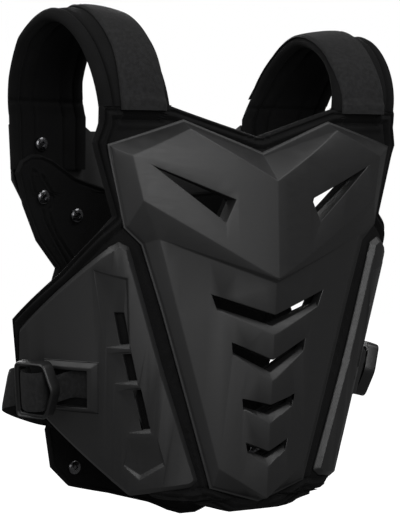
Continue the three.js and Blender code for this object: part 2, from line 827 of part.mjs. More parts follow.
// Buckle frame: five-sided ring standing off the wing, its nose toward the front
function buckleFrame(sign) {
  const rear = buckleReach + buckleLength;
  const ring = (inset) => {
    const high = -buckleMiddleDrop + buckleHeight / 2 - inset;
    const low = -buckleMiddleDrop - buckleHeight / 2 + inset;
    return [
      [rear - inset, high],
      [buckleReach + buckleNose, high],
      [buckleReach + inset, -buckleMiddleDrop],
      [buckleReach + buckleNose, low],
      [rear - inset, low],
    ];
  };
  const chart = buckleChart(sign);
  const low = sideStand + buckleLift;
  const body = chartPrism(chart, flipAcross(ring(0), sign), low, low + buckleThickness);
  const window = chartPrism(chart, flipAcross(ring(buckleBorder), sign), -cutOver, cutOver);
  return geometryOf(body.subtract(window));
}

// Webbing between its upper and its lower edge, given point by point
function ribbon(highEdge, lowEdge, thickness) {
  const last = highEdge.length - 1;
  const out = highEdge.map((high, j) => {
    const along = highEdge[Math.min(last, j + 1)].clone().sub(highEdge[Math.max(0, j - 1)]);
    return along.cross(high.clone().sub(lowEdge[j])).normalize();
  });
  const edges = [lowEdge, highEdge];
  const skin = (share) => (i, j) => edges[i][j].clone().addScaledVector(out[j], share * thickness);
  return outward(sheet(1, last, skin(0.5), skin(-0.5)));
}

// Short webbing out of the side plate's recess and under the nose of the buckle
function buckleTab(sign) {
  const chart = buckleChart(sign);
  const under = sideStand + buckleLift - seatGap - webbingThickness / 2;
  const [lowEdge, highEdge] = [-0.5, 0.5].map((share) => {
    const up = share * tabWebbingWidth - buckleMiddleDrop;
    return [
      frontPoint(sign * (recessReach + buckleBorder), up, webbingThickness),
      frontPoint(sign * buckleReach, up, 1.5 * webbingThickness),
      chart(sign * (buckleReach + 1.5 * buckleBorder), up, under),
      chart(sign * (buckleReach + 2.5 * buckleBorder), up, under),
    ];
  });
  return ribbon(highEdge, lowEdge, webbingThickness);
}

// Waist webbing rolled through the buckle's window, under its rear bar and round to the back
function waistStrap(sign) {
  const chart = buckleChart(sign);
  const rear = buckleReach + buckleLength;
  const under = sideStand + buckleLift - seatGap - webbingThickness;
  const windowFront = buckleReach + buckleNose + windowGap;
  const windowRear = rear - buckleBorder - windowGap;
  const windowMiddle = (windowFront + windowRear) / 2;
  const against = backThickness + seatGap + webbingThickness / 2;
  const anchorEdge = waistAnchorReach + waistAnchorHold;
  const [lowEdge, highEdge] = [-0.5, 0.5].map((share) => {
    const up = (run) => share * webbingWidth - buckleMiddleDrop - run * (waistAnchorDrop - buckleMiddleDrop);
    const control = [
      chart(sign * windowFront, up(0), under),
      chart(sign * (windowFront + windowGap), up(0), under + webbingRoll * 0.75),
      chart(sign * windowMiddle, up(0), under + webbingRoll),
      chart(sign * windowRear, up(0), under + webbingRoll * 0.6),
      chart(sign * (windowRear - windowGap / 2), up(0), under),
      chart(sign * (rear + windowGap), up(0.02), under),
      new THREE.Vector3(sign * (waistBulgeReach - share * waistBulgeFlare), waistBulgeBack, up(0.35)),
      backPoint(sign * (anchorEdge + webbingWidth / 2), up(0.9), against),
      backPoint(sign * anchorEdge, up(1), against),
      backPoint(sign * waistAnchorReach, up(1), against),
    ];
    return new THREE.CatmullRomCurve3(control, false, 'centripetal').getPoints(3 * control.length);
  });
  return ribbon(highEdge, lowEdge, webbingThickness);
}

// Domed head of a screw, on the wearer's face of a chart point
function screwHeadAt(chart, across, up) {
  const profile = [new THREE.Vector2(0, 0), new THREE.Vector2(screwRadius, 0)];
  for (let i = 0; i < screwRings; i += 1) {
    const angle = (Math.PI / 2) * (i / screwRings);
    const height = screwEdge + (screwHead - screwEdge) * Math.sin(angle);
    profile.push(new THREE.Vector2(screwRadius * Math.cos(angle), height));
  }
  profile.push(new THREE.Vector2(0, screwHead));
  const head = new THREE.LatheGeometry(profile, screwSides);
  const nearby = 0.001;
  const face = chart(across, up, 0);
  const sideways = chart(across + nearby, up, 0).sub(face);
  const upward = chart(across, up + nearby, 0).sub(face);
  const inward = chart(across, up, -nearby).sub(face);
  const out = sideways.cross(upward).normalize();
  out.multiplyScalar(Math.sign(out.dot(inward)));
  const foot = face.addScaledVector(out, seatGap);
  const turn = new THREE.Quaternion().setFromUnitVectors(new THREE.Vector3(0, 1, 0), out);
  head.applyQuaternion(turn);
  head.translate(foot.x, foot.y, foot.z);
  return geometryOf(solidFrom(outward(mergedBare(head))));
}

function mergedBare(geometry) {
  geometry.deleteAttribute('normal');
  geometry.deleteAttribute('uv');
  return mergeVertices(geometry, 0.0001);
}

// Screws of the back, as shares of the back padding's sizes; the upper one holds the pad's root
const screws = [
  { name: 'low', across: 0.6, up: -0.826 },
  { name: 'inner', across: 0.6, up: -0.1 },
  { name: 'outer', across: 0.825, up: -0.047 },
];

const yokeScrew = { across: 0.27, along: 1.52 };

const root = new THREE.Group();
root.position.set(0, -seatBack, -seatRise);

function addPiece(name, geometry, material) {
  const mesh = new THREE.Mesh(geometry, material);
  mesh.name = name;
  root.add(mesh);
}

addPiece('front_foam_panel', frontFoamPanel(), foamMaterial);
addPiece('chest_plate', chestPlate(), plasticMaterial);
addPiece('back_foam_panel', backFoamPanel(), foamMaterial);
addPiece('back_plate', backPlate(), plasticMaterial);
for (const side of sides) {
  addPiece(`side_plate_${side.name}`, sidePlate(side.sign), plasticMaterial);
  addPiece(`shoulder_pad_${side.name}`, shoulderPad(side), foamMaterial);
  addPiece(`shoulder_strap_${side.name}`, shoulderStrap(side), webbingMaterial);
  addPiece(`buckle_frame_${side.name}`, buckleFrame(side.sign), plasticMaterial);
  addPiece(`buckle_tab_${side.name}`, buckleTab(side.sign), webbingMaterial);
  addPiece(`waist_strap_${side.name}`, waistStrap(side.sign), webbingMaterial);
  for (const screw of screws) {
    const across = side.sign * screw.across * backHalfWidth;
    const head = screwHeadAt(backPoint, across, screw.up * backDrop);
    addPiece(`back_screw_${screw.name}_${side.name}`, head, screwMaterial);
  }
  const yokeHead = screwHeadAt(archChart(side), yokeScrew.across * padWidth, yokeScrew.along);
  addPiece(`back_screw_yoke_${side.name}`, yokeHead, screwMaterial);
}

export default root;
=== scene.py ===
# %% [markdown]
# # A roost deflector: foam, moulded shells and webbing
# The vest is built in the same frame as its CAD model: metres, +Z up, the front faces -Y and
# the wearer's right is -X. Its shells and pads follow a bent torso, so each piece is first laid
# out flat, as (distance across, height, stand off the padding), and then bent onto the torso by
# one formula. Laying out flat keeps every outline simple and every groove at an even depth.

# %% Load the CAD frame
import math
import bmesh
import bpy
import numpy as np
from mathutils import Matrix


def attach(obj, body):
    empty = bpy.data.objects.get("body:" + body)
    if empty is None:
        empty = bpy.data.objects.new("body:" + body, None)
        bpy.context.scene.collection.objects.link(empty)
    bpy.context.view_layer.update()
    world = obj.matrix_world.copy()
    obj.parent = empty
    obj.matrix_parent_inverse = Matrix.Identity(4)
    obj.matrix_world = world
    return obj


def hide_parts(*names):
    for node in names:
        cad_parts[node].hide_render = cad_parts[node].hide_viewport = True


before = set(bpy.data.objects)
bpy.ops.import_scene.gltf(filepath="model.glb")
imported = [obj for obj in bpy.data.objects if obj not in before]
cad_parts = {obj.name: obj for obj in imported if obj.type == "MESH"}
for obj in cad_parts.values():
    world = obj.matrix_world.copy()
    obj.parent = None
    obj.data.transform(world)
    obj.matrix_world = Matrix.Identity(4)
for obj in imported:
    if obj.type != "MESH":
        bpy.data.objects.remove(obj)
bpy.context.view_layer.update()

# %% [markdown]
# ## Camera
# The camera stands in front of the vest, a third of the way round to the wearer's right, and
# a little above its middle. A long lens keeps the far side nearly as large as the near one.
# Place and lens were fitted to mirrored corners of the chest shell.

# %% Place the camera
SEAT = np.array([0.0, 115.0, 140.0])
CAMERA_PLACE = (-881.2, -1387.6, 9.5)
CAMERA_TURN = -30.0
CAMERA_LIFT = 2.72
CAMERA_LENS = 129.1


def metres(points):
    """Millimetres from the plate datum to metres from the shoulder seat."""
    return (np.asarray(points, float) - SEAT) / 1000.0


lens = bpy.data.cameras.new("studio_camera")
lens.lens = CAMERA_LENS
lens.sensor_width = 36.0
lens.clip_end = 50.0
camera = bpy.data.objects.new("studio_camera", lens)
bpy.context.collection.objects.link(camera)
camera.location = metres(CAMERA_PLACE)
camera.rotation_euler = (math.radians(90 - CAMERA_LIFT), 0, math.radians(CAMERA_TURN))
bpy.context.scene.camera = camera
print("camera at", [round(v, 4) for v in camera.location])

# %% [markdown]
# ## Studio
# A pale floor well below the worn vest, a white surround and five large soft lamps. The key
# lamp hangs in front of the wearer's right shoulder, so faces turned to it are lighter.

# %% Floor, surround and lamps
FLOOR_DROP = 1150.0
KEY_POWER = 37.0
SIDE_POWER = 11.0
TOP_POWER = 14.0
REAR_POWER = 17.0
BACK_POWER = 40.0
SURROUND_LIGHT = 0.16
SURROUND_SEEN = 1.0


def area_lamp(name, place, aim, size, power):
    """Square lamp at place, turned so that its light axis points at aim."""
    lamp = bpy.data.lights.new(name, "AREA")
    lamp.shape = "SQUARE"
    lamp.size = size
    lamp.energy = power
    holder = bpy.data.objects.new(name, lamp)
    bpy.context.collection.objects.link(holder)
    start = metres(place)
    holder.location = start
    away = metres(aim) - start
    turn = math.atan2(-away[0], away[1])
    lift = math.atan2(away[2], math.hypot(away[0], away[1]))
    holder.rotation_euler = (math.radians(90) + lift, 0, turn)
    return holder


CHEST = (0, 60, -90)
area_lamp("key_lamp", (-520, -2100, 560), CHEST, 1.3, KEY_POWER)
area_lamp("side_lamp", (-2000, -300, 500), CHEST, 1.3, SIDE_POWER)
area_lamp("top_lamp", (700, -800, 1500), CHEST, 1.0, TOP_POWER)
area_lamp("rear_lamp", (-1500, 500, 1500), CHEST, 1.2, REAR_POWER)
area_lamp("back_lamp", (700, 2500, 700), CHEST, 1.6, BACK_POWER)

world = bpy.data.worlds.new("white_surround")
bpy.context.scene.world = world
world.use_nodes = True
surround = world.node_tree.nodes["Background"]
surround.inputs["Color"].default_value = (1, 1, 1, 1)
surround.inputs["Strength"].default_value = SURROUND_LIGHT
seen = world.node_tree.nodes.new("ShaderNodeBackground")
seen.inputs["Color"].default_value = (1, 1, 1, 1)
seen.inputs["Strength"].default_value = SURROUND_SEEN
rays = world.node_tree.nodes.new("ShaderNodeLightPath")
both = world.node_tree.nodes.new("ShaderNodeMixShader")
world.node_tree.links.new(rays.outputs["Is Camera Ray"], both.inputs["Fac"])
world.node_tree.links.new(surround.outputs["Background"], both.inputs[1])
world.node_tree.links.new(seen.outputs["Background"], both.inputs[2])
world.node_tree.links.new(both.outputs["Shader"], world.node_tree.nodes["World Output"].inputs["Surface"])
bpy.context.scene.view_settings.view_transform = "Standard"

floor_mesh = bpy.data.meshes.new("floor")
half = 9.0
drop = -FLOOR_DROP / 1000
floor_mesh.from_pydata([(-half, -half, drop), (half, -half, drop), (half, half, drop), (-half, half, drop)],
                       [], [(0, 1, 2, 3)])
floor = bpy.data.objects.new("floor", floor_mesh)
bpy.context.collection.objects.link(floor)
floor.visible_diffuse = False
floor.visible_glossy = False

# %% [markdown]
# ## Finishes
# Five finishes cover the vest: satin moulded plastic, fine knit over foam, its finer lining,
# woven webbing and dark polished screws. Each mixes two close colours by a broad noise and carries
# a fine bump, and the plastic and the screws also break their gloss, because an even black surface
# looks like a cut-out.

# %% Helpers for materials


def new_finish(name, color, roughness, metal=0.0):
    """Material with one shader, its node tree and the shader, ready for textures."""
    finish = bpy.data.materials.new(name)
    finish.use_nodes = True
    tree = finish.node_tree
    shader = tree.nodes["Principled BSDF"]
    shader.inputs["Base Color"].default_value = (*color, 1)
    shader.inputs["Roughness"].default_value = roughness
    shader.inputs["Metallic"].default_value = metal
    return finish, tree, shader


def place_of(tree, uv=False):
    """Object coordinates in metres, or the piece's own UV map."""
    coordinates = tree.nodes.new("ShaderNodeTexCoord")
    return coordinates.outputs["UV" if uv else "Object"]


def noise(tree, place, scale, detail=2.0, stretch=None):
    """Smooth noise with features of about 1 / scale metres, drawn out along one axis if asked."""
    if stretch:
        mapping = tree.nodes.new("ShaderNodeMapping")
        mapping.inputs["Scale"].default_value = stretch
        tree.links.new(place, mapping.inputs["Vector"])
        place = mapping.outputs["Vector"]
    texture = tree.nodes.new("ShaderNodeTexNoise")
    texture.inputs["Scale"].default_value = scale
    texture.inputs["Detail"].default_value = detail
    tree.links.new(place, texture.inputs["Vector"])
    return texture.outputs["Fac"]


def ramp(tree, value, low, high, start=0.35, end=0.65):
    """Mix from one colour or grey to another as value goes from start to end."""
    node = tree.nodes.new("ShaderNodeValToRGB")
    node.color_ramp.elements[0].position = start
    node.color_ramp.elements[1].position = end
    node.color_ramp.elements[0].color = (*low, 1) if isinstance(low, tuple) else (low, low, low, 1)
    node.color_ramp.elements[1].color = (*high, 1) if isinstance(high, tuple) else (high, high, high, 1)
    tree.links.new(value, node.inputs["Fac"])
    return node.outputs["Color"]


def calculate(tree, operation, first, second=None):
    """One sum, product or other result of two values, each a socket or a number."""
    node = tree.nodes.new("ShaderNodeMath")
    node.operation = operation
    for slot, value in enumerate((first, second)):
        if value is None:
            continue
        if isinstance(value, (int, float)):
            node.inputs[slot].default_value = value
        else:
            tree.links.new(value, node.inputs[slot])
    return node.outputs["Value"]


def bump(tree, shader, height, distance, strength=1.0):
    """Bump of the given height field, distance metres high."""
    node = tree.nodes.new("ShaderNodeBump")
    node.inputs["Strength"].default_value = strength
    node.inputs["Distance"].default_value = distance
    tree.links.new(height, node.inputs["Height"])
    tree.links.new(node.outputs["Normal"], shader.inputs["Normal"])


# %% Satin moulded plastic


def moulded_plastic(name, color, roughness, grain):
    """Spark-eroded grain with soft scuffs, a shade lighter where the surface is rubbed."""
    finish, tree, shader = new_finish(name, color, roughness)
    place = place_of(tree)
    broad = noise(tree, place, 14, 3)
    scuffs = noise(tree, place, 90, 5, stretch=(1, 1, 5))
    lighter = tuple(c * 1.28 for c in color)
    tree.links.new(ramp(tree, broad, color, lighter), shader.inputs["Base Color"])
    rubbed = calculate(tree, "MULTIPLY", scuffs, 0.16)
    tree.links.new(calculate(tree, "ADD", rubbed, roughness - 0.08), shader.inputs["Roughness"])
    fine = noise(tree, place, 1700, 2)
    bump(tree, shader, fine, grain)
    shader.inputs["Specular IOR Level"].default_value = 0.5
    return finish


shell_plastic = moulded_plastic("satin_shell_plastic", (0.005, 0.005, 0.0052), 0.52, 0.00005)
buckle_plastic = moulded_plastic("buckle_plastic", (0.004, 0.004, 0.0042), 0.42, 0.00004)
print("plastics", shell_plastic.name, buckle_plastic.name)

# %% Knit over foam, and the finer lining


def knit_over_foam(name, color, knit):
    """Small loops of a cell texture, knit to the metre, with finer noise for loose fibres."""
    finish, tree, shader = new_finish(name, color, 0.86)
    place = place_of(tree)
    loops = tree.nodes.new("ShaderNodeTexVoronoi")
    loops.inputs["Scale"].default_value = knit
    tree.links.new(place, loops.inputs["Vector"])
    fibres = noise(tree, place, 2600, 2)
    height = calculate(tree, "ADD", loops.outputs["Distance"], calculate(tree, "MULTIPLY", fibres, 0.5))
    bump(tree, shader, height, 0.00025)
    broad = noise(tree, place, 30, 4)
    lighter = tuple(c * 1.5 for c in color)
    tree.links.new(ramp(tree, broad, color, lighter), shader.inputs["Base Color"])
    shader.inputs["Sheen Weight"].default_value = 0.01
    shader.inputs["Specular IOR Level"].default_value = 0.1
    return finish


foam_knit = knit_over_foam("fine_knit_over_foam", (0.0028, 0.0028, 0.0029), 900)
pad_lining = knit_over_foam("dark_pad_lining", (0.0028, 0.0028, 0.0029), 1300)
print("fabrics", foam_knit.name, pad_lining.name)

# %% Woven webbing, read from the strap's own UV map in metres


def woven_webbing(name, color, warp, weft):
    """Plain weave: the product of a wave along the strap and a wave across it."""
    finish, tree, shader = new_finish(name, color, 0.8)
    split = tree.nodes.new("ShaderNodeSeparateXYZ")
    tree.links.new(place_of(tree, uv=True), split.inputs["Vector"])
    waves = [
        calculate(tree, "SINE", calculate(tree, "MULTIPLY", split.outputs[axis], 2 * math.pi / pitch))
        for axis, pitch in (("X", weft), ("Y", warp))
    ]
    weave = calculate(tree, "MULTIPLY", *waves)
    threads = noise(tree, place_of(tree), 1800, 2)
    height = calculate(tree, "ADD", calculate(tree, "MULTIPLY", weave, 0.5), threads)
    bump(tree, shader, height, 0.0003)
    patchy = noise(tree, place_of(tree), 300, 4)
    mixed = calculate(tree, "ADD", patchy, calculate(tree, "MULTIPLY", weave, 0.15))
    lighter = tuple(c * 2.6 for c in color)
    tree.links.new(ramp(tree, mixed, color, lighter, 0.35, 0.7), shader.inputs["Base Color"])
    shader.inputs["Sheen Weight"].default_value = 0.02
    shader.inputs["Specular IOR Level"].default_value = 0.2
    return finish


strap_weave = woven_webbing("woven_shoulder_strap", (0.0048, 0.0048, 0.0050), 0.0016, 0.0012)
waist_weave = woven_webbing("woven_waist_webbing", (0.0052, 0.0052, 0.0054), 0.0014, 0.0020)
print("webbing", strap_weave.name, waist_weave.name)

# %% Dark polished screws


def dark_screw_steel():
    """Blackened steel with fine turning marks."""
    finish, tree, shader = new_finish("dark_screw_steel", (0.10, 0.10, 0.105), 0.24, 1.0)
    marks = noise(tree, place_of(tree), 900, 3)
    tree.links.new(ramp(tree, marks, (0.08, 0.08, 0.085), (0.16, 0.16, 0.165)), shader.inputs["Base Color"])
    tree.links.new(ramp(tree, marks, 0.18, 0.34), shader.inputs["Roughness"])
    bump(tree, shader, marks, 0.00002)
    return finish


screw_steel = dark_screw_steel()
print("steel", screw_steel.name)

# %% [markdown]
# ## The bent torso
# The chest is nearly flat in plan, folds back sharply beside the shell, and then runs on as a
# gently curved wing. A chart turns (across, up, stand) into a place: across is the length
# walked along the front face from the middle, so nothing stretches, and stand is measured
# off that face. The fold comes nearer to the middle further down.

# %% Chart of the front
CHEST_RADIUS = 700.0
FOLD_TURN = math.radians(40)
FOLD_RUN = 30.0
WING_RADIUS = 400.0
FOLD_REACH = (133.0, 60.0)
FOLD_DROP = (45.0, 276.0)
FOAM_SETBACK = 28.0
FOAM_LEAN = 8.0
NECK_RISE = 40.0
TAB_RISE = 66.0
TAB_SETBACK = 39.0
FOAM_DROP = 300.0
FOAM_THICKNESS = 9.0
WALK_STEPS = 64


def smooth_rise(share):
    """0 to 1 with level ends: 3 t^2 - 2 t^3."""
    t = np.clip(share, 0, 1)
    return t * t * (3 - 2 * t)


def fold_reach(up):
    """Distance from the middle at which the chest folds, falling evenly with height."""
    share = (-up - FOLD_DROP[0]) / (FOLD_DROP[1] - FOLD_DROP[0])
    return FOLD_REACH[0] - share * (FOLD_REACH[0] - FOLD_REACH[1])


def front_heading(reach, up):
    """Turn of the face: reach / chest radius, plus the fold, plus the wing's own curve."""
    past = reach - fold_reach(up)
    fold = FOLD_TURN * smooth_rise(past / FOLD_RUN)
    return reach / CHEST_RADIUS + fold + np.maximum(0, past - FOLD_RUN) / WING_RADIUS


def front_place(across, up, stand):
    """Walks the heading from the middle out to across, then steps stand off the face."""
    across, up, stand = np.broadcast_arrays(*[np.asarray(v, float) for v in (across, up, stand)])
    reach = np.abs(across)
    shares = (np.arange(WALK_STEPS) + 0.5) / WALK_STEPS
    heading = front_heading(reach[..., None] * shares, up[..., None])
    x = np.cos(heading).mean(-1) * reach
    y = np.sin(heading).mean(-1) * reach
    into_tab = smooth_rise((up - NECK_RISE / 2) / (TAB_RISE - NECK_RISE / 2))
    setback = FOAM_SETBACK + FOAM_LEAN * (NECK_RISE - up) / (NECK_RISE + FOAM_DROP)
    turn = front_heading(reach, up) * (1 - into_tab)
    back = (1 - into_tab) * (setback + y) + into_tab * TAB_SETBACK
    side = np.where(across < 0, -1.0, 1.0)
    return np.stack([side * (x + stand * np.sin(turn)), back - stand * np.cos(turn), up], axis=-1)


print("corner of the right wing", front_place(-255, -200, 0).round(1))

# %% Chart of the back
BACK_REACH = 203.0
BACK_LEAN = 0.03
BACK_RADIUS = 750.0
BACK_THICKNESS = 5.0


def back_place(across, up, stand):
    """A shallow barrel: the face falls back with x^2 / 2R and leans by a small share of z."""
    across, up, stand = np.broadcast_arrays(*[np.asarray(v, float) for v in (across, up, stand)])
    turn = across / BACK_RADIUS
    back = BACK_REACH - BACK_LEAN * up - across**2 / (2 * BACK_RADIUS)
    return np.stack([across + stand * np.sin(turn), back + stand * np.cos(turn), up], axis=-1)


print("middle of the back", back_place(0, 0, 0).round(1))

# %% [markdown]
# ## From points to pieces
# Grids of points become closed skins, and flat plates are cut, rounded and only then bent. A
# piece ends as one mesh in metres at the origin, so that textures on object coordinates stay
# at true scale.

# %% Helpers for meshes


def finish_piece(name, mesh, finish, node, sharp=35):
    """Adds the mesh as a piece of the vest that stands for its CAD node."""
    mesh.name = name
    mesh.materials.clear()
    mesh.materials.append(finish)
    for polygon in mesh.polygons:
        polygon.use_smooth = True
    mesh.set_sharp_from_angle(angle=math.radians(sharp))
    piece = bpy.data.objects.new(name, mesh)
    bpy.context.collection.objects.link(piece)
    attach(piece, "root")
    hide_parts(node)
    return piece


def mesh_of(points, faces):
    """Mesh from an array of points and a list of faces, with its normals turned outwards."""
    mesh = bpy.data.meshes.new("shape")
    mesh.from_pydata(np.asarray(points).reshape(-1, 3).tolist(), [], [list(map(int, f)) for f in faces])
    work = bmesh.new()
    work.from_mesh(mesh)
    bmesh.ops.remove_doubles(work, verts=work.verts, dist=1e-6)
    bmesh.ops.recalc_face_normals(work, faces=work.faces)
    work.to_mesh(mesh)
    work.free()
    return mesh


def grid_faces(rows, columns, start=0, wrap=False):
    """Four-sided faces of a grid of points stored row by row."""
    r, c = np.meshgrid(np.arange(rows - 1), np.arange(columns if wrap else columns - 1), indexing="ij")
    after = (c + 1) % columns
    quads = np.stack([r * columns + c, r * columns + after, (r + 1) * columns + after, (r + 1) * columns + c])
    return (quads.reshape(4, -1).T + start).tolist()


def skin_of_rings(rings):
    """Closed tube through a stack of rings, an array of rings x points x 3, with flat ends."""
    count, size = rings.shape[:2]
    faces = grid_faces(count, size, wrap=True)
    faces += [list(range(size)), list(range((count - 1) * size, count * size))]
    return rings.reshape(-1, 3), faces


def evaluated(mesh, modifiers):
    """Mesh after the given modifiers, each a (type, settings) pair."""
    holder = bpy.data.objects.new("holder", mesh)
    bpy.context.collection.objects.link(holder)
    for kind, settings in modifiers:
        modifier = holder.modifiers.new(kind.lower(), kind)
        for key, value in settings.items():
            setattr(modifier, key, value)
    graph = bpy.context.evaluated_depsgraph_get()
    result = bpy.data.meshes.new_from_object(holder.evaluated_get(graph))
    bpy.data.objects.remove(holder)
    return result


def cut(mesh, cutters):
    """The mesh less all cutters, which are closed meshes that don't touch each other."""
    work = bmesh.new()
    for cutter in cutters:
        work.from_mesh(cutter)
    joined = bpy.data.meshes.new("cutters")
    work.to_mesh(joined)
    work.free()
    tool = bpy.data.objects.new("cutters", joined)
    bpy.context.collection.objects.link(tool)
    result = evaluated(mesh, [("BOOLEAN", {"operation": "DIFFERENCE", "solver": "EXACT", "object": tool})])
    bpy.data.objects.remove(tool)
    return result


def prism(outline, low, high, mouth=None):
    """Closed prism over an outline, from the low stand, one for all or each corner, to the high one.
    A mouth is the outline at the high stand, where the walls slope."""
    outline = np.asarray(outline, float)
    mouth = outline if mouth is None else np.asarray(mouth, float)
    count = len(outline)
    lows = np.broadcast_to(low, count)
    highs = np.broadcast_to(high, count)
    points = np.concatenate([np.column_stack([outline, lows]), np.column_stack([mouth, highs])])
    faces = [[i, (i + 1) % count, count + (i + 1) % count, count + i] for i in range(count)]
    faces += [[0, i, i + 1] for i in range(1, count - 1)]
    faces += [[count, count + i, count + i + 1] for i in range(1, count - 1)]
    return mesh_of(points, faces)


def sliced(mesh, axis, cuts):
    """Splits the faces along planes across one axis, so that they can follow a bend."""
    work = bmesh.new()
    work.from_mesh(mesh)
    normal = [0, 0, 0]
    normal[axis] = 1
    for place in cuts:
        point = [0, 0, 0]
        point[axis] = place
        every = work.verts[:] + work.edges[:] + work.faces[:]
        bmesh.ops.bisect_plane(work, geom=every, plane_co=point, plane_no=normal, dist=1e-4)
    work.to_mesh(mesh)
    work.free()
    return mesh


def bent(mesh, chart):
    """Moves every point of a flat mesh onto the torso, and into metres."""
    flat = np.empty(len(mesh.vertices) * 3)
    mesh.vertices.foreach_get("co", flat)
    across, up, stand = flat.reshape(-1, 3).T
    mesh.vertices.foreach_set("co", metres(chart(across, up, stand)).ravel())
    mesh.update()
    return mesh


def inset(outline, distance):
    """Moves each corner of a closed outline inwards, along the half turn of its two edges."""
    outline = np.asarray(outline, float)
    area = np.sum(outline[:, 0] * np.roll(outline[:, 1], -1) - np.roll(outline[:, 0], -1) * outline[:, 1])
    ahead = np.roll(outline, -1, axis=0) - outline
    ahead /= np.linalg.norm(ahead, axis=1, keepdims=True)
    normal = np.sign(area) * np.column_stack([-ahead[:, 1], ahead[:, 0]])
    both = normal + np.roll(normal, 1, axis=0)
    both /= np.linalg.norm(both, axis=1, keepdims=True)
    lean = np.sum(both * normal, axis=1, keepdims=True)
    return outline + both * distance / np.maximum(lean, 0.35)


def rounded_corners(outline, radius, steps=5):
    """Replaces each corner by a short curve that starts and ends radius away from it."""
    outline = np.asarray(outline, float)
    before = np.roll(outline, 1, axis=0) - outline
    after = np.roll(outline, -1, axis=0) - outline
    before /= np.linalg.norm(before, axis=1, keepdims=True)
    after /= np.linalg.norm(after, axis=1, keepdims=True)
    t = np.linspace(0, 1, steps)[None, :, None]
    start = (outline + before * radius)[:, None]
    end = (outline + after * radius)[:, None]
    return ((1 - t) ** 2 * start + 2 * t * (1 - t) * outline[:, None] + t**2 * end).reshape(-1, 2)


def softened(mesh, width, angle=24):
    """Rounds every crease that is sharper than the angle and longer than three widths."""
    work = bmesh.new()
    work.from_mesh(mesh)
    bmesh.ops.remove_doubles(work, verts=work.verts, dist=0.05)
    bmesh.ops.dissolve_degenerate(work, edges=work.edges, dist=0.05)
    creases = [edge for edge in work.edges if len(edge.link_faces) == 2
               and edge.calc_face_angle(0) > math.radians(angle) and edge.calc_length() > 3 * width]
    bmesh.ops.bevel(work, geom=creases, offset=width, segments=3, profile=0.5, affect="EDGES",
                    clamp_overlap=False)
    work.to_mesh(mesh)
    work.free()
    return mesh


print("helpers ready")

# %% [markdown]
# ## Chest shell
# The real shell is injection moulded: a mask with flat facets over a keel, with two slanted
# slits and four arrow vents whose walls run down to the padding. Facets are best written as
# named corners. The block is made flat, its openings are cut through, its creases are
# rounded, and the whole is bent onto the torso.

# %% Corners and facets of the chest shell
CHEST_RELIEF = 34.0
RIM_STAND = 2.6
RIM_FLANGE = 3.2
SEAT_GAP = 0.5

CHEST_RIM = {
    "neck": (0, 25.7), "peak": (76.5, 54.5), "shoulder": (150, 32), "waist": (134, -41),
    "notch": (118, -56), "flank": (98.5, -115), "hip": (50, -276), "foot": (0, -292),
}
CHEST_CORNERS = {
    "ridge_top": (0, 0, 29), "top": (77, 46, 15.5), "corner": (129, 22, 12.6),
    "corner_low": (120, -17, 15.5), "mask_tip": (0, -87.6, 34), "waist_line": (103.5, -51, 11),
    "keel_top": (0, -91, 29.5), "flank_line": (85, -118, 10.8), "hip_line": (45, -257, 10.4),
    "foot_line": (0, -287, 17.5),
}
CHEST_FACETS = [
    ("neck_in", "peak_in", "top"), ("neck_in", "top", "ridge_top"),
    ("peak_in", "shoulder_in", "corner", "top"),
    ("shoulder_in", "corner_low", "corner"), ("shoulder_in", "waist_in", "corner_low"),
    ("ridge_top", "top", "corner"), ("ridge_top", "corner", "corner_low"),
    ("ridge_top", "corner_low", "mask_tip"),
    ("mask_tip", "corner_low", "waist_line"), ("mask_tip", "waist_line", "keel_top"),
    ("corner_low", "waist_in", "waist_line"), ("waist_in", "notch_in", "waist_line"),
    ("keel_top", "waist_line", "flank_line"), ("keel_top", "flank_line", "hip_line"),
    ("keel_top", "hip_line", "foot_line"),
    ("waist_line", "notch_in", "flank_in", "flank_line"), ("flank_line", "flank_in", "hip_in", "hip_line"),
    ("hip_line", "hip_in", "foot_in", "foot_line"),
]
EYE_SLIT = [(110, 12.5), (38.7, -16.7), (48, -36.4)]
VENTS = [
    {"outer": 57.6, "outer_low": 51.5, "top": -100, "outer_drop": -114.5, "apex": -119.7, "apex_low": -137.5},
    {"outer": 38, "outer_low": 36.2, "top": -143, "outer_drop": -154.5, "apex": -160.3, "apex_low": -179.6},
    {"outer": 26.6, "outer_low": 24.8, "top": -194, "outer_drop": -204.4, "apex": -201, "apex_low": -218},
    {"outer": 21.7, "outer_low": 19.5, "top": -234, "outer_drop": -244, "apex": -243.5, "apex_low": -257.5},
]
LEDGE_HEIGHT = 8.0
LEDGE_END = 0.35
LEDGE_DEPTH = 4.5
LEDGE_OUT = 0.6
WALL_DEPTH_STAND = 7.0
POCKET_MARGIN = 5.0


def mirrored(points):
    """Right and left copies of an outline that starts and ends on the middle line."""
    points = np.asarray(points, float)
    other = points[1:-1][::-1] * [-1, 1]
    return np.concatenate([points, other])


def vent_outline(vent, ledge=0.0):
    """Arrow vent between its two lines; a ledge lifts the lower line, most at the middle."""
    half = [(0, vent["apex"]), (vent["outer"], vent["top"]),
            (vent["outer_low"], vent["outer_drop"] + ledge * LEDGE_END), (0, vent["apex_low"] + ledge)]
    return mirrored(half)


def openings(low, high, grow=0.0, ledge=0.0, grow_low=None):
    """Prisms through the two slits and the four vents, grown all round by a margin.
    The two lowest vents may have a margin of their own."""
    outlines = [np.array(EYE_SLIT) * [side, 1] for side in (-1, 1)]
    outlines += [vent_outline(vent, ledge) for vent in VENTS]
    margins = [grow] * len(outlines)
    if grow_low is not None:
        margins[-2:] = [grow_low] * 2
    return [prism(inset(outline, -margin), low, high) for outline, margin in zip(outlines, margins)]


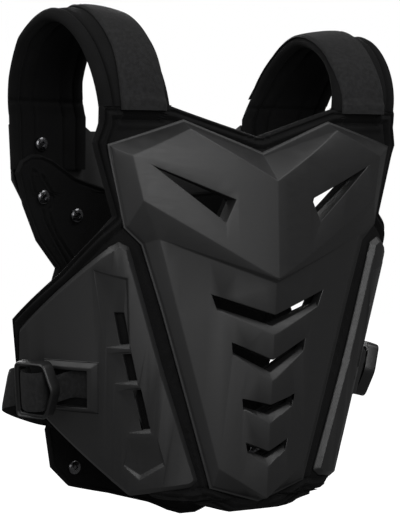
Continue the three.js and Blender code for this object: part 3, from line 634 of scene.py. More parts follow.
def ledges():
    """Sloping lower lips of the vents: each falls back from the keel's face by the ledge depth."""
    cutters = []
    for vent in VENTS:
        floor_line = vent_outline(vent, LEDGE_HEIGHT)
        mouth_line = vent_outline(vent)
        floor_stand = keel_face(floor_line) - LEDGE_DEPTH
        out = LEDGE_OUT / LEDGE_DEPTH
        beyond = mouth_line + (mouth_line - floor_line) * out
        cutters.append(prism(floor_line, floor_stand, keel_face(mouth_line) + LEDGE_OUT, beyond))
    return cutters


def keel_face(outline):
    """Stand of the keel's face: it falls away evenly across and downwards from the keel's top."""
    _, top, stand = CHEST_CORNERS["keel_top"]
    low_across, low_up, low_stand = CHEST_CORNERS["waist_line"]
    _, foot_up, foot_stand = CHEST_CORNERS["foot_line"]
    fall = (stand - foot_stand) / (top - foot_up)
    slope = (stand + fall * (low_up - top) - low_stand) / low_across
    return stand - slope * np.abs(outline[:, 0]) + fall * (outline[:, 1] - top)


# %% Build the chest shell
LEDGE_SHARE = 0.6
LIP_RISE = 1.9


def faceted_block(rim, corners, facets, flange, foot, rim_stand):
    """Closed block: a foot outline, an upright rim, a narrow flange inside it, then the facets."""
    names = list(rim)
    outline = mirrored(list(rim.values()))
    inner = inset(outline, flange)
    count = len(outline)
    ledge = inset(outline, flange * LEDGE_SHARE)
    rim = np.broadcast_to(rim_stand, count)
    points = [np.column_stack([outline, np.broadcast_to(foot, count)])]
    points += [np.column_stack([outline, rim]), np.column_stack([ledge, rim])]
    points.append(np.column_stack([inner, rim + LIP_RISE]))
    find = {}
    for index, name in enumerate(names):
        find[(name + "_in", 1)] = 3 * count + index
        find[(name + "_in", -1)] = 3 * count + (count - index) % count
    extra = []
    for name, (x, z, stand) in corners.items():
        for side in (1, -1):
            if side < 0 and x == 0:
                find[(name, -1)] = find[(name, 1)]
                continue
            find[(name, side)] = 4 * count + len(extra)
            extra.append((side * x, z, stand))
    faces = [list(range(count))]
    for ring in (0, 1, 2):
        faces += [[ring * count + i, ring * count + (i + 1) % count,
                   (ring + 1) * count + (i + 1) % count, (ring + 1) * count + i] for i in range(count)]
    for facet in facets:
        for side in (1, -1):
            faces.append([find[(name, side)] for name in facet])
    return mesh_of(np.concatenate(points + [np.array(extra)]), faces)


chest = faceted_block(CHEST_RIM, CHEST_CORNERS, CHEST_FACETS, RIM_FLANGE, SEAT_GAP, RIM_STAND)
chest = cut(chest, openings(-20, WALL_DEPTH_STAND, POCKET_MARGIN, LEDGE_HEIGHT))
chest = cut(chest, openings(-20, CHEST_RELIEF + 20, 0, LEDGE_HEIGHT))
chest = cut(chest, ledges())
chest = softened(chest, 0.9, 12)
chest = sliced(chest, 0, np.arange(-144, 145, 12))
chest = sliced(chest, 1, (20, 28, 36, 44, 52))
chest_plate = finish_piece("chest_shell", bent(chest, front_place), shell_plastic, "chest_plate",
                           20)
print("chest shell", len(chest_plate.data.polygons), "faces")

# %% [markdown]
# ## Front padding
# A sheet of moulded foam with a rolled border: a thin bead at the very edge, a wider one
# inside it, and a pressed groove beside each. Height is a function of the distance to the
# outline, so beads and grooves run round every corner by themselves.

# %% Distance to an outline


def distance_to(outline, across, up, closed=True):
    """Shortest distance from each point to a polyline, by clamping its foot to each edge."""
    start = np.asarray(outline, float)
    end = np.roll(start, -1, axis=0) if closed else start[1:]
    start = start if closed else start[:-1]
    best = np.full(across.shape, np.inf)
    for a, b in zip(start, end):
        edge = b - a
        share = ((across - a[0]) * edge[0] + (up - a[1]) * edge[1]) / max(edge @ edge, 1e-9)
        share = np.clip(share, 0, 1)
        gap = np.hypot(across - a[0] - share * edge[0], up - a[1] - share * edge[1])
        best = np.minimum(best, gap)
    return best


def hump(distance, low, high):
    """Round bead between two distances: the square of half a sine wave."""
    return np.sin(np.pi * np.clip((distance - low) / (high - low), 0, 1)) ** 2


def notch(distance, middle, width):
    """Narrow groove about a distance, as a bell curve."""
    return np.exp(-(((distance - middle) / width) ** 2))


def rolled_edge(distance, half_thickness):
    """Quarter circle from the middle of the edge up to the full thickness."""
    share = np.clip(distance / half_thickness, 0, 1)
    return half_thickness * (np.sqrt(1 - (1 - share) ** 2) - 1)


# %% Build the front padding
FRONT_OUTLINE = [
    (85, 66), (157, 66), (157, 50), (162, 33), (143, -31), (196, -80), (262, -126), (262, -186),
    (230, -218), (131, -287), (98, -286), (64, -289), (50, -287), (26, -300),
]
NECK_HALF = 85.0
EDGE_CROWD = 0.62
ROW_STEP = 1.9
FRONT_COLUMNS = 88


def padded_sheet(chart, inner_edge, outer_edge, heights, front, back, columns, lean=None):
    """Two mirrored half grids between an inner and an outer edge, crowded towards the outer one.
    front and back give the heights of the two skins over the padding's face."""
    points, faces, start = [], [], 0
    crowd = np.linspace(0, 1, columns)
    crowd = (1 - EDGE_CROWD) * crowd + EDGE_CROWD * np.sin(crowd * np.pi / 2)
    for side in (-1, 1):
        up = np.repeat(heights[:, None], columns, axis=1)
        inner = inner_edge(heights)[:, None]
        outer = outer_edge(heights)[:, None]
        across = side * (inner + (outer - inner) * crowd)
        if lean is not None:
            across = across + lean(heights)[:, None]
        skins = [chart(across, up, skin(across, up)) for skin in (front, back)]
        for skin in skins:
            points.append(skin.reshape(-1, 3))
            faces += grid_faces(len(heights), columns, start)
            start += skin[..., 0].size
        size = skins[0][..., 0].size
        low, high = start - 2 * size, start - size
        index = np.arange(size).reshape(len(heights), columns)
        rims = [index[:, -1], index[0], index[-1]]
        above = inner_edge(heights) > 1e-6
        if above.any():
            rims.append(index[: above.sum() + 1, 0])
        for rim in rims:
            faces += [[low + a, low + b, high + b, high + a] for a, b in zip(rim[:-1], rim[1:])]
    return mesh_of(metres(np.concatenate(points)), faces)


def reader(pairs):
    """Edge of a sheet as a function of height, straight between given (across, up) pairs."""
    table = np.array(sorted(pairs, key=lambda pair: pair[1]), float)
    return lambda up: np.interp(up, table[:, 1], table[:, 0])


front_outer = reader(FRONT_OUTLINE[1:] + [(26, -300.01)])


def front_inner(up):
    """Neck opening: a V from the ridge up to the two shoulder tabs."""
    return np.clip((up - NECK_RISE) / (TAB_RISE - NECK_RISE), 0, 1) * NECK_HALF


FRONT_WHOLE = mirrored([(0, NECK_RISE)] + FRONT_OUTLINE + [(0, -300)])
RIM_BEAD = (1.5, 8.0)
RIM_BEAD_RISE = 2.4


def inside_box(across, up, low, high, soft):
    """1 inside a box in (across, up), falling to 0 over a soft border."""
    x = np.minimum(np.abs(across) - low[0], high[0] - np.abs(across))
    z = np.minimum(up - low[1], high[1] - up)
    return smooth_rise(np.minimum(x, z) / soft + 0.5)


CHEST_WHOLE = mirrored([CHEST_RIM[corner] for corner in ("neck", "peak", "shoulder", "waist", "notch",
                                                         "flank", "hip", "foot")])
chest_half = reader([CHEST_RIM[corner] for corner in ("shoulder", "waist", "notch", "flank", "hip", "foot")])


def front_face(across, up):
    """Edge roll, two beads and two grooves, a sunken keeper on each tab, a bead along the shell."""
    d = distance_to(FRONT_WHOLE, across, up)
    beads = 1.6 * hump(d, 0.6, 4.2) + 2.6 * hump(d, 4.6, 11.5)
    grooves = 1.6 * notch(d, 4.4, 0.9) + 2.2 * notch(d, 12.4, 1.2)
    rim = inside_box(across, up, (92, 46), (141, 64), 4) * 2.0
    sunk = inside_box(across, up, (97, 51), (136, 60), 3.5) * 6.5
    from_rim = distance_to(CHEST_WHOLE, across, up)
    outside = smooth_rise((np.abs(across) - chest_half(up)) / 1.0)
    rim_bead = RIM_BEAD_RISE * hump(from_rim, *RIM_BEAD) * outside * smooth_rise((-45 - up) / 20)
    return rolled_edge(d, FOAM_THICKNESS / 2) + beads - grooves + rim - sunk + rim_bead


def wearer_face(across, up):
    """Plain cushioned face on the wearer's side, rolled at the edge, with one pressed seam."""
    d = distance_to(FRONT_WHOLE, across, up)
    swell = 1.5 * smooth_rise(d / 40)
    return -FOAM_THICKNESS - rolled_edge(d, FOAM_THICKNESS / 2) - swell + 1.2 * notch(d, 14, 1.5)


corner_heights = [up for _, up in FRONT_OUTLINE] + [NECK_RISE]
heights = np.unique(np.concatenate([np.arange(-FOAM_DROP, TAB_RISE + 1, ROW_STEP), corner_heights]))[::-1]
front_sheet = padded_sheet(front_place, front_inner, front_outer, heights, front_face, wearer_face,
                           FRONT_COLUMNS)
print("front padding before its openings", len(front_sheet.polygons), "faces")

# %% Cut the front padding's openings
holes = [bent(sliced(hole, 0, np.arange(-108, 109, 12)), front_place)
         for hole in openings(-24, 14, POCKET_MARGIN, LEDGE_HEIGHT, 0.5)]
front_sheet = cut(front_sheet, holes)
front_padding = finish_piece("front_padding", front_sheet, foam_knit, "front_foam_panel", 50)
print("front padding", len(front_padding.data.polygons), "faces")

# %% [markdown]
# ## Side shells
# Each wing carries a smaller shell with a sloping border. Behind the fold it has a channel
# in three louvres: each sinks towards its lower end, where an upright ledge catches the
# light, and a slot beside the border goes right through. A raised boss frames the webbing.

# %% Outlines of a side shell
SIDE_STAND = 6.0
SIDE_OUTLINE = [
    (125, -69), (128.4, -57.6), (138, -52.5), (145, -57), (248.5, -136), (255.5, -200), (221, -217),
    (142, -272), (125, -284), (68, -273.5), (61.5, -268), (95.5, -167),
]
SIDE_BORDER = [(0, 2.6, SEAT_GAP), (0, 2.6, 1.8), (1.0, 2.2, 2.6), (4.8, 1.2, SIDE_STAND)]
SLOTS = [
    [(139.4, -115), (131.1, -115.3), (125.1, -143.5), (133.5, -143.8)],
    [(130.5, -152.7), (122.7, -151.7), (116.9, -176), (125.6, -176.4)],
    [(120, -184.6), (113.1, -183.8), (104, -219.8), (111.9, -220.2)],
]
LOUVRES = [
    {"floor": [(157, -78.6), (130.2, -86.2), (124.9, -143.8), (147, -147)], "depth": (0.3, 1.8, 3.6, -0.1),
     "mouth": [(158, -77), (129.8, -84.4), (124, -147.4), (148, -147.6)]},
    {"floor": [(146, -152), (123, -150.5), (116.7, -176.3), (139, -179.5)], "depth": (-0.1, 0.6, 3.6, -0.1),
     "mouth": [(146, -151.9), (122.6, -150), (116, -180), (140, -180.2)]},
    {"floor": [(137, -186), (113.6, -182.6), (103.8, -220.1), (126, -224.5)], "depth": (-0.1, 0.6, 3.6, -0.1),
     "mouth": [(137, -185.9), (113.2, -182), (103, -223.9), (127, -225.2)]},
    {"floor": [(124, -230), (98, -226), (91.7, -250.3), (113.3, -263.7), (128, -254.3)],
     "depth": (-0.1, -0.1, 3.0, 3.4, 0.8),
     "mouth": [(124, -230), (98, -226), (90.4, -253.5), (113.3, -268), (129.5, -256.5)]},
]
MOUTH_STAND = 0.6
BOSS_FOOT = [(153.5, -161), (153.5, -208), (212, -208), (212, -161)]
BOSS_TOP = [(158.5, -166), (158.5, -205.5), (212, -205.5), (212, -166)]
BOSS_STAND = 10.5
BOSS_OPENING = [(163, -169), (163, -203), (203, -203), (203, -169)]

# %% Build both side shells


def stepped_block(rings):
    """Closed block through (outline, stand) rings, with its first and last ring as caps."""
    return mesh_of(*skin_of_rings(np.array([np.column_stack([o, np.full(len(o), h)]) for o, h in rings])))


def turned(outline, side):
    """Outline of the other side of the vest."""
    return np.asarray(outline, float) * [side, 1]


def side_shell(side):
    """Sloping border, louvres and slots cut in, and the webbing's boss put on."""
    sharp = turned(SIDE_OUTLINE, side)
    block = stepped_block([(rounded_corners(inset(sharp, inward), radius, 4), stand)
                           for inward, radius, stand in SIDE_BORDER])
    boss = stepped_block([(turned(BOSS_FOOT, side), 2.0), (turned(BOSS_FOOT, side), SIDE_STAND + 0.2),
                          (turned(BOSS_TOP, side), BOSS_STAND)])
    for louvre in LOUVRES:
        low = SIDE_STAND - np.array(louvre["depth"])
        mouth = turned(louvre["mouth"], side)
        block = cut(block, [prism(turned(louvre["floor"], side), low, SIDE_STAND + MOUTH_STAND, mouth)])
    tool = bpy.data.objects.new("boss", boss)
    bpy.context.collection.objects.link(tool)
    block = evaluated(block, [("BOOLEAN", {"operation": "UNION", "solver": "EXACT", "object": tool})])
    bpy.data.objects.remove(tool)
    print("side shell with its boss", len(block.polygons), "faces")
    through = [prism(turned(slot, side), -20, 30) for slot in SLOTS + [BOSS_OPENING]]
    block = softened(cut(block, through), 0.8, 22)
    return sliced(block, 0, side * np.arange(66, 256, 5.0))


side_shells = {}
for name, side in (("right", -1), ("left", 1)):
    side_shells[name] = finish_piece(f"side_shell_{name}", bent(side_shell(side), front_place), shell_plastic,
                                     f"side_plate_{name}", 24)
    print("side shell", name, len(side_shells[name].data.polygons), "faces")

# %% [markdown]
# ## Back padding and back shell
# From the front the inside of the back shows between the front padding and the strap: a thin
# dark sheet with a narrow raised rim and a pair of pressed lines that run down from a screw.
# The shell behind it is hidden there, and is finished in the same way as the chest.

# %% Build the back padding
BACK_EDGE = [
    (166.6, -3), (161.5, -23), (146, -57), (124, -83.5), (141, -133.6), (117, -187), (134, -237),
    (127.5, -274), (107, -294), (68, -305.6), (35.7, -319), (22, -329), (8.5, -334),
]
BACK_TAB = [(153, 24), (165, 18), (170, 7.2)]
BACK_NECKLINE = [(0, -14.4), (59.5, -10.8), (102, 2.4), (129, 19.2), (143, 24)]
BACK_LEAN_FOOT = 29.0
BACK_FOOT = -334.0
BACK_TOP = 24.0
BACK_COLUMNS = 84
NECK_DIP = -14.4
PRESSED_LINES = [
    [(148, 7), (152, 9), (153, 3), (151, -6), (149, -11)],
    [(141, 4), (131, -11), (128, -17), (130, -25), (134, -27), (131, -37), (125, -50), (117, -61), (104, -78),
     (100, -96), (110, -125), (112, -140), (96, -180), (98, -200), (108, -240), (100, -262)],
    [(140, -28), (138, -37), (133, -46), (125, -59), (112, -78), (108, -96), (118, -125), (120, -140)],
]

back_outer = reader(BACK_TAB + BACK_EDGE + [(8.5, -334.01)])
neck_table = np.array(BACK_NECKLINE, float)


def back_inner(up):
    """Neckline of the back between its two tabs."""
    return np.where(up < NECK_DIP, 0.0, np.interp(up, neck_table[:, 1], neck_table[:, 0]))


def back_lean(up):
    """The foot of the back leans to the wearer's left."""
    return BACK_LEAN_FOOT * smooth_rise((-up - 290) / 44) ** 1.2


BACK_WHOLE = mirrored([(0, NECK_DIP)] + BACK_NECKLINE[1:] + BACK_TAB + BACK_EDGE + [(0, BACK_FOOT)])


def back_wearer_face(across, up):
    """Thin rolled rim, a groove inside it, and the pressed lines."""
    d = distance_to(BACK_WHOLE, across - back_lean(up), up)
    lines = np.min([distance_to(line, np.abs(across), up, closed=False) for line in PRESSED_LINES], axis=0)
    relief = 1.2 * hump(d, 0.2, 3.4) - 0.9 * notch(d, 4.2, 0.9)
    pressed = 1.1 * notch(lines, 0, 1.0) - 0.8 * notch(lines, 2.6, 1.0)
    return -(rolled_edge(d, BACK_THICKNESS / 2) + relief - pressed)


def back_outer_face(across, up):
    """Plain outer face, rolled at the edge."""
    d = distance_to(BACK_WHOLE, across - back_lean(up), up)
    return BACK_THICKNESS + rolled_edge(d, BACK_THICKNESS / 2)


corner_heights = [z for _, z in BACK_TAB + BACK_EDGE + BACK_NECKLINE]
heights = np.unique(np.concatenate([np.arange(BACK_FOOT, BACK_TOP + 1, ROW_STEP), corner_heights]))[::-1]
back_sheet = padded_sheet(back_place, back_inner, back_outer, heights, back_outer_face, back_wearer_face,
                          BACK_COLUMNS, back_lean)
back_padding = finish_piece("back_padding", back_sheet, pad_lining, "back_foam_panel", 50)
print("back padding", len(back_padding.data.polygons), "faces")

# %% Build the back shell
PAD_ROOT = 8.8
BACK_RIM = {
    "neck": (0, 46.8), "neck_side": (77.3, 46.8), "shoulder_in": (87.4, 54.6), "shoulder_out": (168, 52),
    "blade": (164.6, 0), "flank": (117.6, -90), "waist": (89, -180), "hip": (92.4, -270), "foot": (0, -300),
}
BACK_RIM_LIFT = {"neck_side": 1, "shoulder_in": 1, "shoulder_out": 1, "blade": 1}
BACK_CORNERS = {
    "spine_top": (0, 31, 25.6), "top_in": (84, 39, 20.8), "top_out": (158, 39, 17.6),
    "blade_line": (151, 0, 19.2),
    "flank_line": (107.5, -84, 11.2), "waist_line": (79, -174, 11.2), "hip_line": (82.3, -264, 11.2),
    "foot_line": (0, -288, 14.4),
}
BACK_FACETS = [
    ("neck_in", "neck_side_in", "top_in"), ("neck_in", "top_in", "spine_top"),
    ("neck_side_in", "shoulder_in_in", "top_in"), ("shoulder_in_in", "shoulder_out_in", "top_out", "top_in"),
    ("shoulder_out_in", "blade_in", "blade_line", "top_out"),
    ("blade_in", "flank_in", "flank_line", "blade_line"),
    ("flank_in", "waist_in", "waist_line", "flank_line"), ("waist_in", "hip_in", "hip_line", "waist_line"),
    ("hip_in", "foot_in", "foot_line", "hip_line"),
    ("spine_top", "top_in", "blade_line"), ("top_in", "top_out", "blade_line"),
    ("spine_top", "blade_line", "flank_line"), ("spine_top", "flank_line", "waist_line"),
    ("spine_top", "waist_line", "foot_line"), ("waist_line", "hip_line", "foot_line"),
]
lift_half = np.array([BACK_RIM_LIFT.get(name, 0) * (PAD_ROOT + SEAT_GAP) for name in BACK_RIM])
lifts = np.concatenate([lift_half, lift_half[1:-1][::-1]])
back_block = faceted_block(BACK_RIM, BACK_CORNERS, BACK_FACETS, 2.4, SEAT_GAP + lifts, RIM_STAND + lifts)
back_block = softened(back_block, 1.1, 12)
back_block = sliced(back_block, 0, np.arange(-156, 157, 12))
back_shell = finish_piece("back_shell",
                          bent(back_block, lambda a, u, h: back_place(a, u, h + BACK_THICKNESS)),
                          shell_plastic, "back_plate", 20)
print("back shell", len(back_shell.data.polygons), "faces")

# %% [markdown]
# ## Shoulder pads
# A padded band arches over each shoulder. Its section is a closed loop: a crowned outer face
# with a bead and a seam along each edge, and a softly quilted lining. The loop is carried
# along the arch, whose front and back halves are two superellipses.

# %% Chart of an arch
PAD_WIDTH = 71.0
PAD_THICKNESS = 8.0
PAD_CROWN = 5.0
PAD_REACH = 121.0
YOKE_RISE = 60.0
YOKE_SPREAD = 10.0
ROOT_LENGTH = 50.0
ARCH_RISE = {"right": 160.0, "left": 146.0}
ARCH_POWER = (1.85, 1.65)
STRAP_WIDTH = 45.0
STRAP_THICKNESS = 3.0
STRAP_GAP = 0.7
SIGN = {"right": -1.0, "left": 1.0}
CROWN_FADE = 0.8
PAD_EDGES = np.array([
    (0, -0.49, 0.49), (0.25, -0.37, 0.6), (0.5, -0.31, 0.72), (0.7, -0.3, 0.85), (0.85, -0.34, 0.82),
    (1, -0.465, 0.75), (2, -0.465, 0.72),
])


def pad_edges(t):
    """Neck and arm edge of the pad at shares t along the arch, in millimetres."""
    neck = np.interp(t, PAD_EDGES[:, 0], PAD_EDGES[:, 1]) * PAD_WIDTH
    arm = np.interp(t, PAD_EDGES[:, 0], PAD_EDGES[:, 2]) * PAD_WIDTH
    return neck, arm


def pad_stand(across, t):
    """Crowned outer face: thickness plus a parabola between the edges, flat at the root."""
    neck, arm = pad_edges(t)
    share = (across - neck) / (arm - neck)
    crown = PAD_CROWN * (1 - smooth_rise((t - CROWN_FADE) / (1 - CROWN_FADE)))
    return PAD_THICKNESS + crown * (1 - (2 * share - 1) ** 2)


def arch_spine(side, t):
    """Wearer's line of the arch: |cos|^p back and |sin|^p up, then straight down the root."""
    over = np.clip(t, 0, 1)
    front = t < 0.5
    base = np.where(front, TAB_RISE, YOKE_RISE)
    power = 2 / np.where(front, *ARCH_POWER)
    tab_back = TAB_SETBACK + FOAM_THICKNESS
    yoke_back = back_place(PAD_REACH + YOKE_SPREAD, YOKE_RISE, BACK_THICKNESS + 0.8)[1]
    half_span = (yoke_back - tab_back) / 2
    top = ARCH_RISE[side] - STRAP_THICKNESS - STRAP_GAP - PAD_THICKNESS - PAD_CROWN
    away = np.abs(np.cos(np.pi * over)) ** power
    y = tab_back + half_span * (1 + np.where(front, -1, 1) * away)
    z = base + (top - base) * np.abs(np.sin(np.pi * over)) ** power
    down = np.maximum(0, t - 1) * ROOT_LENGTH
    below = np.minimum(0, t) * ROOT_LENGTH
    return y + down * BACK_LEAN, z - down + below


def arch_place(side, across, t, stand):
    """Point across the pad, at share t along the arch, standing off the wearer's line."""
    across, t, stand = np.broadcast_arrays(*[np.asarray(v, float) for v in (across, t, stand)])
    near = 0.01
    y0, z0 = arch_spine(side, t - near)
    y1, z1 = arch_spine(side, t + near)
    length = np.hypot(y1 - y0, z1 - z0)
    y, z = arch_spine(side, t)
    x = PAD_REACH + across
    wrap = smooth_rise(t) * (x**2 - (PAD_REACH + YOKE_SPREAD) ** 2) / (2 * BACK_RADIUS)
    outward = y - wrap - (z1 - z0) / length * stand
    return np.stack([SIGN[side] * x, outward, z + (y1 - y0) / length * stand], axis=-1)


# %% Build both shoulder pads
PAD_ROWS = 150
PAD_COLUMNS = 46
PAD_SEAM = 11.0
LINING_SEAM = 0.93


def pad_section(t):
    """Closed loop at shares t: outer face from neck to arm, then the lining back again."""
    neck, arm = (edge[:, None] for edge in pad_edges(t))
    t = t[:, None]
    width = arm - neck
    share = (1 - np.cos(np.linspace(0, np.pi, PAD_COLUMNS))) / 2
    outer = neck + width * share
    d = np.minimum(share, 1 - share) * width
    relief = 1.6 * hump(d, 1, PAD_SEAM) - 2.8 * notch(d, PAD_SEAM, 1.3) - 0.7 * notch(d, PAD_SEAM / 2, 0.8)
    top = pad_stand(outer, t) + rolled_edge(d, PAD_THICKNESS / 2) + relief
    lining = outer[:, ::-1]
    e = d[:, ::-1]
    seams = 2.2 * notch(e, 12, 1.4) + 2.2 * notch(e, 27, 1.4) + 2.0 * notch(t, LINING_SEAM, 0.009)
    cushion = 1.2 * hump(e, 3, 12) + 1.2 * hump(e, 12, 26) * smooth_rise((LINING_SEAM - t) / 0.02)
    low = -rolled_edge(e, PAD_THICKNESS / 2) - cushion + seams
    loop_across = np.concatenate([outer, lining[:, 1:-1]], axis=1)
    loop_stand = np.concatenate([top, low[:, 1:-1]], axis=1)
    return loop_across, loop_stand


shares = np.concatenate([np.linspace(-0.03, 1, PAD_ROWS), np.linspace(1, 2, 30)[1:]])
shoulder_pads = {}
for name in SIGN:
    loop_across, loop_stand = pad_section(shares)
    rings = arch_place(name, loop_across, shares[:, None], loop_stand)
    pad_mesh = mesh_of(metres(rings), skin_of_rings(rings)[1])
    pad = finish_piece(f"arch_pad_{name}", pad_mesh, foam_knit, f"shoulder_pad_{name}", 60)
    pad.data.materials.append(pad_lining)
    columns = loop_across.shape[1]
    around = (len(shares) - 1) * columns
    lining = np.zeros(len(pad.data.polygons), int)
    lining[:around] = np.arange(around) % columns >= columns // 2
    pad.data.polygons.foreach_set("material_index", lining)
    shoulder_pads[name] = pad
    print("shoulder pad", name, len(pad.data.polygons), "faces")

# %% [markdown]
# ## Shoulder straps
# A woven band lies on each pad, with a stitched hem at its foot. It is a thin sheet carried
# along the same arch, just clear of the pad's crown, with its own UV map in metres so that
# the weave follows the band round the shoulder.

# %% Helper for webbing


def with_uv(mesh, along, sideways):
    """Stores one (along, sideways) pair in metres for each vertex as the mesh's UV map."""
    layer = mesh.uv_layers.new(name="weave")
    corners = np.empty(len(mesh.loops), int)
    mesh.loops.foreach_get("vertex_index", corners)
    pairs = np.column_stack([along, sideways])[corners]
    layer.data.foreach_set("uv", pairs.ravel())
    return mesh


# %% Build both shoulder straps
STRAP_INSET = 7.0
STRAP_SHIFT = 0.25
STRAP_ROWS = 150
STRAP_COLUMNS = 25


def strap_mesh(name):
    """Sheet between the pad's crown and one strap thickness above it, thicker at its hem."""
    t = np.concatenate([[-0.09], np.linspace(-0.08, 0.9, STRAP_ROWS - 1)])[:, None]
    neck, _ = pad_edges(t)
    inset_neck = STRAP_INSET * (1 - smooth_rise(t / STRAP_SHIFT))
    share = np.linspace(0, 1, STRAP_COLUMNS)
    across = neck + inset_neck + STRAP_WIDTH * share
    edge = np.minimum(share, 1 - share) * STRAP_WIDTH
    low = pad_stand(across, t) + STRAP_GAP
    hem = 1.5 * smooth_rise((0.03 - t) / 0.012) + 0.9 * smooth_rise((0.46 - t) / 0.008)
    hem = hem - 0.5 * notch(t, 0.045, 0.006) - 0.5 * notch(t, 0.475, 0.005)
    stitch = 0.5 * notch(edge, 3.2, 0.7)
    high = low + (STRAP_THICKNESS - 1.2) * np.sqrt(np.clip(edge / 1.2, 0.02, 1)) + hem - stitch
    loop_across = np.concatenate([across, across[:, ::-1]], axis=1)
    loop_stand = np.concatenate([high, np.broadcast_to(low, high.shape)[:, ::-1]], axis=1)
    rings = arch_place(name, loop_across, t, loop_stand)
    points, faces = skin_of_rings(rings)
    mesh = bpy.data.meshes.new("strap")
    mesh.from_pydata(metres(points).tolist(), [], faces)
    y, z = arch_spine(name, t[:, 0])
    along = np.concatenate([[0], np.cumsum(np.hypot(np.diff(y), np.diff(z)))]) / 1000
    along = np.repeat(along, 2 * STRAP_COLUMNS)
    return with_uv(mesh, along, (loop_across / 1000).ravel())


def outwards(mesh):
    """Turns the faces of a closed mesh to the outside, and keeps its UV map."""
    work = bmesh.new()
    work.from_mesh(mesh)
    bmesh.ops.recalc_face_normals(work, faces=work.faces)
    work.to_mesh(mesh)
    work.free()
    return mesh


shoulder_straps = {}
for name in SIGN:
    shoulder_straps[name] = finish_piece(f"arch_strap_{name}", outwards(strap_mesh(name)), strap_weave,
                                         f"shoulder_strap_{name}", 50)
    print("shoulder strap", name, len(shoulder_straps[name].data.polygons), "faces")

# %% [markdown]
# ## Buckles
# A five-sided plastic frame stands off each wing. Its section, an upright wall with a raised
# outer lip and a lower inner step, is carried round a pentagon with rounded corners.

# %% Chart of a buckle
BUCKLE_REACH = 184.0
BUCKLE_LENGTH = 48.0
BUCKLE_HEIGHT = 52.0
BUCKLE_MIDDLE = -183.0
BUCKLE_LIFT = 10.0
BUCKLE_BORDER = 4.5
BUCKLE_NOSE = 11.0


def buckle_place(side, across, up, stand):
    """Flat chart that touches the wing at the middle of the buckle."""
    sign = SIGN[side]
    middle = BUCKLE_REACH + BUCKLE_LENGTH / 2
    origin = front_place(sign * middle, BUCKLE_MIDDLE, 0)
    along = front_place(sign * (middle + 1), BUCKLE_MIDDLE, 0) - origin
    upright = front_place(sign * middle, BUCKLE_MIDDLE + 1, 0) - origin
    out = sign * np.cross(along, upright)
    out /= np.linalg.norm(out)
    across, up, stand = (np.asarray(v, float)[..., None] for v in (across, up, stand))
    return origin + (across - middle) * along + (up - BUCKLE_MIDDLE) * upright + stand * out


# %% Build both buckle frames
BUCKLE_SECTION = np.array([
    (0, 0.0), (0, 9.2), (0.5, 10.5), (1.3, 11.0), (2.0, 10.6), (2.4, 9.6), (3.9, 9.2), (4.4, 8.6), (4.5, 0.0),
])


def buckle_mesh(side):
    """Section rings round the pentagon: each section point is an inset and a stand."""
    rear = BUCKLE_REACH + BUCKLE_LENGTH
    high, low = BUCKLE_MIDDLE + BUCKLE_HEIGHT / 2, BUCKLE_MIDDLE - BUCKLE_HEIGHT / 2
    corners = [(rear, high), (BUCKLE_REACH + BUCKLE_NOSE, high), (BUCKLE_REACH, BUCKLE_MIDDLE),
               (BUCKLE_REACH + BUCKLE_NOSE, low), (rear, low)]
    rings = []
    for inward, lift in BUCKLE_SECTION:
        ring = rounded_corners(inset(corners, inward), 5.5 - inward * 0.6, 6)
        rings.append(buckle_place(side, ring[:, 0], ring[:, 1], SIDE_STAND + BUCKLE_LIFT + lift))
    rings = np.array(rings)
    count, size = rings.shape[:2]
    faces = grid_faces(count, size, wrap=True)
    last = (count - 1) * size
    faces += [[last + i, last + (i + 1) % size, (i + 1) % size, i] for i in range(size)]
    return mesh_of(metres(rings), faces)


buckle_frames = {}
for name in SIGN:
    buckle_frames[name] = finish_piece(f"buckle_body_{name}", buckle_mesh(name), buckle_plastic,
                                       f"buckle_frame_{name}", 40)
    print("buckle frame", name, len(buckle_frames[name].data.polygons), "faces")

# %% [markdown]
# ## Waist webbing
# One short tab comes out of the side shell's boss and goes under the buckle's nose. The long
# strap rolls through the buckle's window, passes under its rear bar and runs round to the
# back. Both are bands between a smooth upper and a smooth lower edge.

# %% Helpers for a band between two edges
WEBBING_WIDTH = 36.0
WEBBING_THICKNESS = 2.0
TAB_WEBBING_WIDTH = 25.0


def smooth_path(points, steps=14):
    """Curve through the points whose speed at each is set by the root of the gaps beside it."""
    points = np.asarray(points, float)
    ends = np.array([2 * points[0] - points[1], 2 * points[-1] - points[-2]])
    whole = np.concatenate([ends[:1], points, ends[1:]])
    gaps = np.sqrt(np.linalg.norm(np.diff(whole, axis=0), axis=1)) + 1e-9
    before, here, after = gaps[:-2, None], gaps[1:-1, None], gaps[2:, None]
    p0, p1, p2, p3 = whole[:-3], whole[1:-2], whole[2:-1], whole[3:]
    m1 = here * ((p1 - p0) / before - (p2 - p0) / (before + here) + (p2 - p1) / here)
    m2 = here * ((p2 - p1) / here - (p3 - p1) / (here + after) + (p3 - p2) / after)
    t = np.linspace(0, 1, steps, endpoint=False)[None, :, None]
    a, b, c, d = (v[:, None] for v in (p1, m1, p2, m2))
    curve = (2 * t**3 - 3 * t**2 + 1) * a + (t**3 - 2 * t**2 + t) * b
    curve = curve + (3 * t**2 - 2 * t**3) * c + (t**3 - t**2) * d
    return np.concatenate([curve.reshape(-1, 3), points[-1:]])


